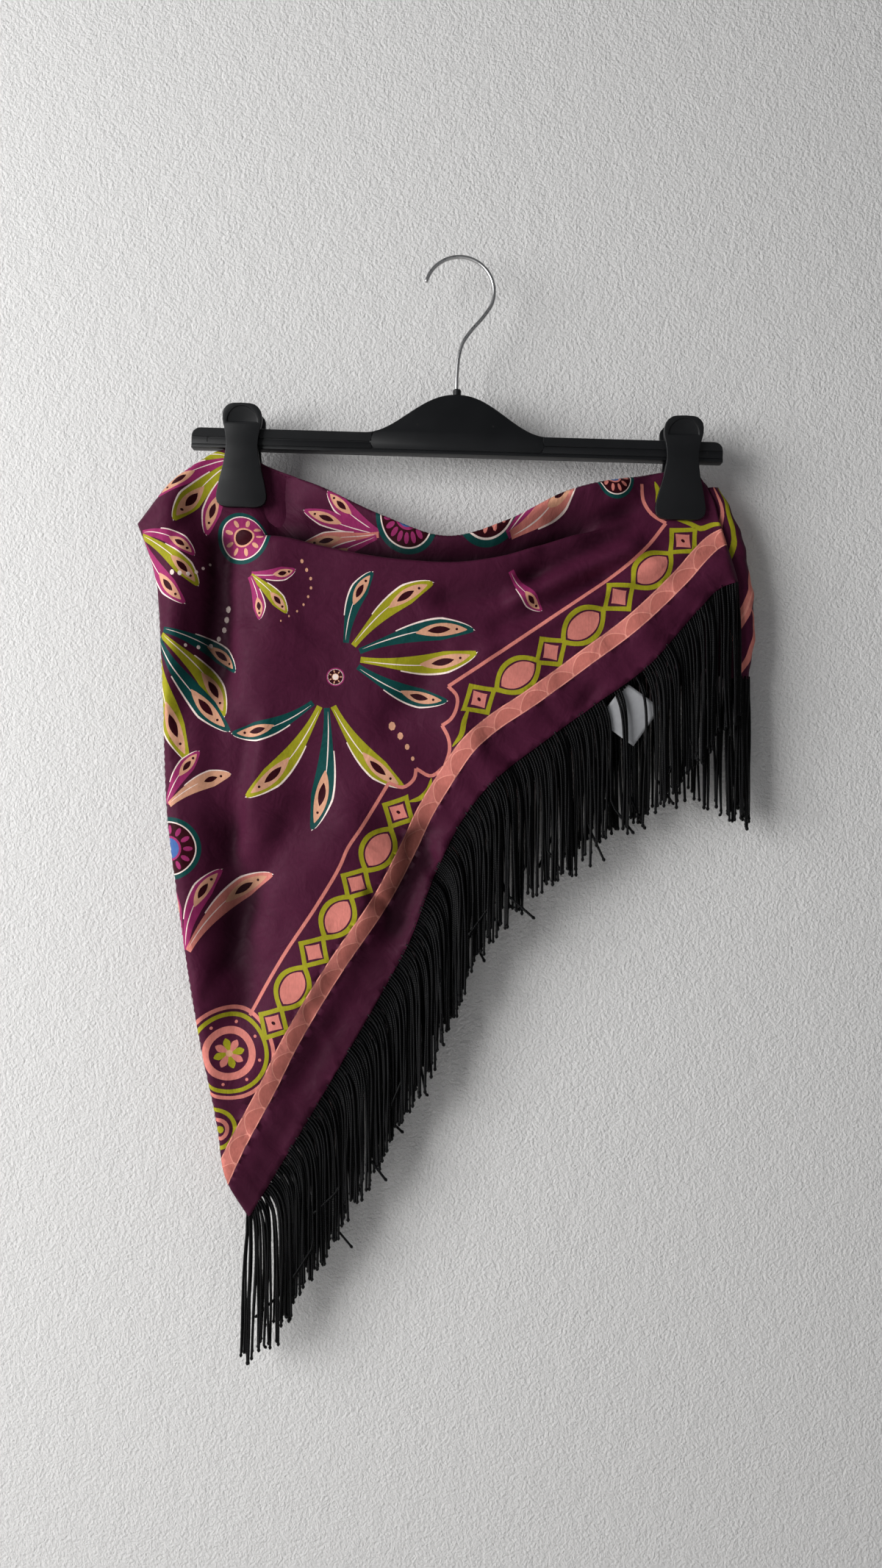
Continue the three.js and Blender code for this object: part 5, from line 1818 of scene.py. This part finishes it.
def grain_group() -> NodeTree:
    """A group of fine fibres and slow cloudiness, for every cloth and plastic.

    Returns:
        The group, with Vector, Fineness, Stretch and Cloud in, and Tone and Height out.
    """
    def fill(g: Graph, source: Sockets) -> Sequence[object]:
        """Mixes a fine noise and a slow one."""
        stretched = g.add("VectorMath", {0: source["Vector"], 1: source["Stretch"]}, operation="MULTIPLY")
        fine = g.add("TexNoise", {"Vector": stretched.outputs[0], "Scale": source["Fineness"], "Detail": 2.0})
        cloud = g.add("TexNoise", {"Vector": source["Vector"], "Scale": source["Cloud"], "Detail": 3.0})
        halves = (g.math("MULTIPLY", noise.outputs["Fac"], 0.5) for noise in (fine, cloud))
        return g.math("ADD", *halves), fine.outputs["Fac"]

    inputs = {"Vector": (0.0, 0.0, 0.0), "Fineness": 2000.0, "Stretch": (1.0, 1.0, 1.0), "Cloud": 60.0}
    return node_group("fibre_grain", inputs, ("Tone", "Height"), fill)


def twill_group() -> NodeTree:
    """A group for the close diagonal ribs of satin and tape.

    Returns:
        The group, with Vector and Ribs in, and Height and Mask out.
    """
    def fill(g: Graph, source: Sockets) -> Sequence[object]:
        """Mixes ribs and slubs."""
        wave = g.add("TexWave", {"Vector": source["Vector"], "Scale": source["Ribs"], "Distortion": 1.5,
                                 "Detail": 1.0}, wave_type="BANDS", bands_direction="DIAGONAL")
        slub = g.add("TexNoise", {"Vector": source["Vector"], "Scale": 350.0, "Detail": 3.0})
        parts = (g.math("MULTIPLY", made.outputs["Fac"], share) for made, share in ((wave, 0.4), (slub, 0.6)))
        return g.math("ADD", *parts), slub.outputs["Fac"]

    return node_group("close_ribs", {"Vector": (0.0, 0.0, 0.0), "Ribs": 900.0}, ("Height", "Mask"), fill)


def grained(g: Graph, fineness: float, cloud: float, stretch: Row = (1.0, 1.0, 1.0),
            place: NodeSocket | None = None) -> Sockets:
    """Puts the grain into a material."""
    values = {"Vector": place or g.place(), "Fineness": fineness, "Stretch": stretch, "Cloud": cloud}
    return g.add("Group", values, node_tree=grain_group()).outputs


def blank_material(name: str) -> tuple[Material, Graph]:
    """An empty material with nodes."""
    material = bpy.data.materials.new(name)
    material.use_nodes = True
    material.node_tree.nodes.clear()
    return material, Graph(material.node_tree)


@dataclass(frozen=True)
class Satin:
    """Printed satin: the dye darkened by painted shade in its folds, a close rib, a soft sheen."""

    roughness: float = 0.56
    sheen: float = 0.02
    bump: float = 0.14
    fold_shade: float = 0.9
    crumple: float = 0.32

    def material(self) -> Material:
        """Builds it."""
        material, g = blank_material("printed_satin")
        uv = g.add("UVMap", uv_map="cloth").outputs[0]
        dye = g.add("VertexColor", layer_name="dye").outputs["Color"]
        grain = grained(g, 900.0, 30.0, (1.0, 0.35, 1.0), uv)
        ribs = g.add("Group", {"Vector": uv, "Ribs": 700.0}, node_tree=twill_group())
        tone = g.spread(grain["Tone"], 0.84, 1.16)
        # painted shade: the dye is darkened where the vertex attribute marks folds, the tuck's pocket and the
        # turned hem
        deep = g.add("Attribute", attribute_name="painted_shade").outputs["Fac"]
        lit = g.math("MULTIPLY", tone, g.math("SUBTRACT", 1.0, g.math("MULTIPLY", deep, self.fold_shade)))
        crumple = g.add("TexNoise", {"Vector": uv, "Scale": 62.0, "Detail": 3.0, "Distortion": 0.7})
        soft = g.bump(self.crumple, 0.004, crumple.outputs["Fac"])
        g.surface(g.add("BsdfPrincipled", {
            "Base Color": g.toned(dye, lit),
            "Roughness": g.spread(ribs.outputs["Mask"], self.roughness - 0.05, self.roughness + 0.07),
            "Normal": g.bump(self.bump, 0.0003, ribs.outputs["Height"], Normal=soft),
            "Sheen Weight": self.sheen, "Sheen Roughness": 0.35, "Sheen Tint": (1.0, 0.6, 0.75, 1.0),
            "Specular IOR Level": 0.09, "Specular Tint": (1.0, 0.72, 0.84, 1.0),
        }))
        return material


@dataclass(frozen=True)
class Chainette:
    """Black knitted cord with a slight lustre."""

    colour: Row = srgb(4, 4, 5)
    roughness: float = 0.38

    def material(self) -> Material:
        """Builds it."""
        material, g = blank_material("black_cord")
        uv = g.add("UVMap", uv_map="cord").outputs[0]
        turned = g.add("Mapping", {"Vector": uv, "Scale": (1.0, 0.42, 1.0)}).outputs[0]
        wave = g.add("TexWave", {"Vector": turned, "Scale": 1.0, "Distortion": 0.6}, wave_type="BANDS",
                     bands_direction="DIAGONAL")
        grain = grained(g, 420.0, 150.0, (1.0, 1.0, 0.03))
        g.surface(g.add("BsdfPrincipled", {
            "Base Color": g.toned(self.colour, g.spread(grain["Tone"], 0.5, 1.9, 0.15)),
            "Roughness": self.roughness, "Normal": g.bump(0.5, 0.0003, wave.outputs["Fac"]),
            "Specular IOR Level": 0.11,
        }))
        return material


@dataclass(frozen=True)
class MouldedPlastic:
    """Black moulded plastic with a fine grain."""

    name: str = "black_plastic"
    colour: Row = srgb(13, 14, 16)
    roughness: float = 0.4
    bump: float = 0.12

    def material(self) -> Material:
        """Builds it."""
        material, g = blank_material(self.name)
        grain = grained(g, 1800.0, 45.0)
        g.surface(g.add("BsdfPrincipled", {
            "Base Color": g.toned(self.colour, g.spread(grain["Tone"], 0.8, 1.2)),
            "Roughness": g.spread(grain["Tone"], self.roughness - 0.06, self.roughness + 0.08),
            "Normal": g.bump(self.bump, 0.0002, grain["Height"]), "Specular IOR Level": 0.28,
        }))
        return material


@dataclass(frozen=True)
class PlatedWire:
    """Bright plated steel with faint drawing lines."""

    name: str = "plated_wire"
    colour: Row = srgb(180, 180, 180)
    roughness: float = 0.28

    def material(self) -> Material:
        """Builds it."""
        material, g = blank_material(self.name)
        grain = grained(g, 900.0, 150.0)
        g.surface(g.add("BsdfPrincipled", {
            "Base Color": g.toned(self.colour, g.spread(grain["Tone"], 0.9, 1.08)),
            "Roughness": g.spread(grain["Tone"], self.roughness - 0.05, self.roughness + 0.1),
            "Metallic": 1.0,
        }))
        return material


@dataclass(frozen=True)
class WovenTape:
    """White woven label tape, given a mid grey: painted shade for the shadow it hangs in."""

    # painted shade: the white tape's colour is darkened to a mid grey
    colour: Row = srgb(158, 159, 162)

    def material(self) -> Material:
        """Builds it."""
        material, g = blank_material("white_tape_painted_shade")
        ribs = g.add("Group", {"Vector": g.place(), "Ribs": 1200.0}, node_tree=twill_group())
        g.surface(g.add("BsdfPrincipled", {
            "Base Color": g.toned(self.colour, g.spread(ribs.outputs["Mask"], 0.94, 1.04)), "Roughness": 0.6,
            "Normal": g.bump(0.3, 0.0002, ribs.outputs["Height"]),
        }))
        return material


# ---- the label
@dataclass
class CareLabel:
    """A blank tape label caught behind the front hem by one corner."""

    # where along the hem it hangs, and how far to the left of that
    along: float = 0.818
    aside: float = 2.0
    width: float = 30.0
    length: float = 32.0
    turn: float = 36.0
    pitch: float = 0.5
    tucked: float = 3.0
    hang: float = 5.0
    behind: float = 4.0
    thick: float = 0.4
    # its curl: depth, and where down the label it turns over
    curl: Row = (0.7, 0.3)

    def build(self, layer: FrontLayer, material: Material) -> Object:
        """Cuts the label, gives it a slight curl and hangs it."""
        hem = layer.point(np.array([self.along]), np.array([0.0]))[0]
        bm = bmesh.new()
        bmesh.ops.create_grid(bm, x_segments=15, y_segments=16, size=0.5)
        shape = Matrix.Diagonal((self.width, self.length, 1, 1))
        lift = Matrix.Translation((self.width / 2 - self.tucked, 0, self.tucked - self.length / 2))
        bmesh.ops.transform(bm, matrix=lift @ spun(90, "X") @ shape, verts=bm.verts)
        for vert in bm.verts:
            across = (vert.co.x + self.tucked) / self.width
            curl = self.curl[0] * sin(pi * across) * (self.curl[1] - vert.co.z / self.length)
            vert.co.y += 0.5 - curl
        place = Matrix.Translation((hem[0] - self.aside, hem[1] + self.behind, hem[2] - self.hang))
        mesh = finish_mesh("label", bm, place @ (spun(self.turn, "Y") @ spun(self.pitch, "X")))
        piece = new_piece("label", mesh, material)
        shell = piece.modifiers.new("thickness", "SOLIDIFY")
        shell.thickness, shell.offset = self.thick * MM, 0
        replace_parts(piece, "care_label")
        return piece


# ---- the whole scarf
@dataclass
class Scarf:
    """The folded cloth: its three layers, their fringes and the label."""

    front: FrontLayer = field(default_factory=FrontLayer)
    back: BackLayer = field(default_factory=BackLayer)
    corner: CornerLayer = field(default_factory=CornerLayer)
    front_flat: Row = (0.66, 0.36, 0.122)
    back_flat: Row = (0.60, 0.36, 0.108)
    corner_flat: Row = (0.13, 0.05, 0.0052)
    label_flat: Row = (0.03, 0.032)
    # where up the front the tuck starts, and how much of the front it takes
    tuck_span: Row = (0.55, 0.27)
    # how far apart the front and back cords are, how far their roots are sunk, how many the corner has
    pitches: Row = (2.0, 2.7)
    sunk: float = 1.2
    corner_count: int = 26
    # where the front cords part for the label
    parted: tuple[Row, ...] = ((99, 104.5), (109, 118.5), (121, 123.5))

    def build(self) -> None:
        """Makes every soft piece and hides the CAD node that each stands for."""
        satin, cord, tape = Satin().material(), Chainette().material(), WovenTape().material()
        shares = np.concatenate([np.linspace(0.02, 0.42, 15), np.linspace(0.5, 0.9, 10)])
        tuck_rows = tuple(self.tuck_span[0] + self.tuck_span[1] * shares)
        front = PrintedSheet("front_cloth", self.front, front_print(self.front), extra_rows=tuck_rows)
        back = PrintedSheet("back_cloth", self.back, back_print(self.back), outward=1, step=5)
        corner = PrintedSheet("corner_cloth", self.corner, corner_print(self.corner), step=2.4, edge_rows=())
        sheets = [sheet.build(satin) for sheet in (front, back, corner)]
        roots, outs = hem_roots(self.front, self.pitches[0], self.sunk, -1)
        strays = tuple(range(6, len(roots) - 9, 9))
        fringes = [Fringe("front_cords", roots, outs, 99, 3, strays=strays, parted=self.parted).build(cord)]
        roots, outs = hem_roots(self.back, self.pitches[1], self.sunk, 1)
        strays = tuple(range(9, len(roots), 17))
        fringes.append(Fringe("back_cords", roots, outs, 99, 5, depth_lean=1.0, strays=strays).build(cord))
        roots, outs = self.corner_roots(self.corner_count)
        fringes.append(Fringe("corner_cords", roots, outs, 98, 7, depth_lean=0, swing=0).build(cord))
        nodes = ("front_panel", "back_panel", "corner_fold", "fringe_front", "fringe_back", "fringe_corner")
        for piece, node in zip([*sheets, *fringes], nodes):
            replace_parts(piece, node)
        label = CareLabel().build(self.front, tape)
        flats = (self.front_flat, self.back_flat, self.corner_flat)
        for sheet, fringe, (*flat, area) in zip(sheets, fringes, flats):
            tuple(flat)

    def corner_roots(self, count: int) -> tuple[Array, Array]:
        """Where cords leave the turned corner's lower edge."""
        share = np.linspace(0.02, 0.98, count)
        points = self.corner.point(share, 0 * share)
        points[:, 2] += 1.5
        return points, np.tile([0.0, -1.0], (count, 1))


def build_hanger() -> None:
    """Makes the hanger, its clips and its hook."""
    plastic, wire = MouldedPlastic().material(), PlatedWire().material()
    # painted shade: a darker plastic for the mould marks and notches, in place of the shade in their recesses
    dark = MouldedPlastic("painted_shade_plastic", srgb(8, 8, 9), 0.7).material()
    spring = PlatedWire("spring_steel", srgb(150, 150, 152), 0.34).material()
    hanger = Hanger()
    bar = hanger.bar(plastic)
    hanger.pin_marks(dark)
    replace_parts(bar, "hanger_bar")
    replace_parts(hanger.collar(plastic), "hook_collar")
    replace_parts(hanger.hook(wire), "hook")
    for name, along in zip(("left", "right"), CLIP_ALONG):
        for side in (-1, 1):
            Clip(name, along).jaw(side, plastic, hanger)
        node = bpy.data.objects[f"clip_{name}_spring"]
        node.data.materials.clear()
        node.data.materials.append(spring)


# ---- stage and light
@dataclass
class Stage:
    """A pale wall behind, a pale floor below, soft light from the left and the camera."""

    wall_depth: float = 27.0
    floor_height: float = -1150.0
    camera: Row = (-12.5, -770.0, -357.1)
    lens: float = 26.0
    wall_middle: float = -350.0
    backdrop_half: Row = (2.0, 4.0)

    def backdrop(self) -> None:
        """The wall and the floor. The wall is seen from the front alone."""
        sides = (
            ("wall", self.backdrop_half[0], 90, (0, self.wall_depth, self.wall_middle)),
            ("floor", self.backdrop_half[1], 0, (0, 0, self.floor_height)),
        )
        for name, half, turn, place in sides:
            bm = bmesh.new()
            bmesh.ops.create_grid(bm, x_segments=1, y_segments=1, size=half)
            shift = Matrix.Translation(Vector(place) * MM)
            bmesh.ops.transform(bm, matrix=shift @ spun(turn, "X"), verts=bm.verts)
            piece = put(name, mesh_of(name, bm))
            piece.data.materials.append(self.plaster(name))

    @staticmethod
    def plaster(name: str) -> Material:
        """Pale rolled plaster."""
        material, g = blank_material(f"{name}_plaster")
        place = g.place()
        pebble = g.add("TexNoise", {"Vector": place, "Scale": 470.0, "Detail": 3.0, "Roughness": 0.65})
        slow = g.add("TexNoise", {"Vector": place, "Scale": 70.0, "Detail": 2.0})
        height = g.math("ADD", pebble.outputs["Fac"], g.math("MULTIPLY", slow.outputs["Fac"], 0.5))
        shader = g.add("BsdfPrincipled", {
            "Base Color": (*srgb(213, 212, 211), 1.0), "Roughness": 0.85, "Specular IOR Level": 0.15,
            "Normal": g.bump(0.8, 0.002, height),
        })
        behind = g.add("NewGeometry").outputs["Backfacing"]
        shadow = g.add("LightPath").outputs["Is Shadow Ray"]
        clear = g.add("BsdfTransparent").outputs[0]
        g.surface(g.add("MixShader", {0: g.math("MAXIMUM", behind, shadow), 1: shader.outputs[0], 2: clear}))
        return material

    @staticmethod
    def lamp(name: str, place: Row, aim: Row, size: float, power: float, colour: Row = (1, 1, 1)) -> None:
        """Adds a soft square light.

        Args:
            name: its name.
            place, aim: where it is and what it looks at, in metres.
            size, power, colour: its side in metres, its power in watts and its colour.
        """
        data = bpy.data.lights.new(name, "AREA")
        data.shape, data.size, data.energy, data.color = "SQUARE", size, power, colour[:3]
        lamp = put(name, data)
        lamp.location = place
        lamp.rotation_mode = "QUATERNION"
        lamp.rotation_quaternion = (Vector(aim) - Vector(place)).to_track_quat("-Z", "Y")

    def light(self) -> None:
        """Soft light from the left and above, a weak fill, and a lamp behind that the wall lets through."""
        aim = (0, 0, -0.4)
        self.lamp("window", (-1.45, -1.02, -0.06), aim, 1.2, 45, (1.0, 0.998, 0.995))
        self.lamp("fill", (0.6, -2.2, -0.2), aim, 2.2, 3, (0.96, 0.98, 1.0))
        self.lamp("behind", (0.3, 2.2, 0.6), aim, 2.0, 24)
        world = bpy.data.worlds.new("room")
        world.use_nodes = True
        sky = world.node_tree.nodes["Background"]
        sky.inputs["Color"].default_value = (0.93, 0.95, 1.0, 1)
        sky.inputs["Strength"].default_value = 0.11
        bpy.context.scene.world = world
        bpy.context.scene.view_settings.view_transform = "Standard"

    def camera_man(self) -> None:
        """The camera, level and square to the wall."""
        data = bpy.data.cameras.new("camera")
        data.lens, data.sensor_width, data.sensor_fit = self.lens, 36.0, "AUTO"
        camera = put("camera", data)
        camera.location = Vector(self.camera) * MM
        camera.rotation_euler = (pi / 2, 0, 0)
        bpy.context.scene.camera = camera

    def build(self) -> None:
        """Sets everything up."""
        self.backdrop()
        self.light()
        self.camera_man()


def main() -> None:
    """Builds the scarf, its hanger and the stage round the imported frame."""
    logging.basicConfig(level=logging.INFO, format="%(name)s: %(message)s")
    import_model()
    Stage().build()
    build_hanger()
    Scarf().build()


if __name__ == "__main__":
    main()
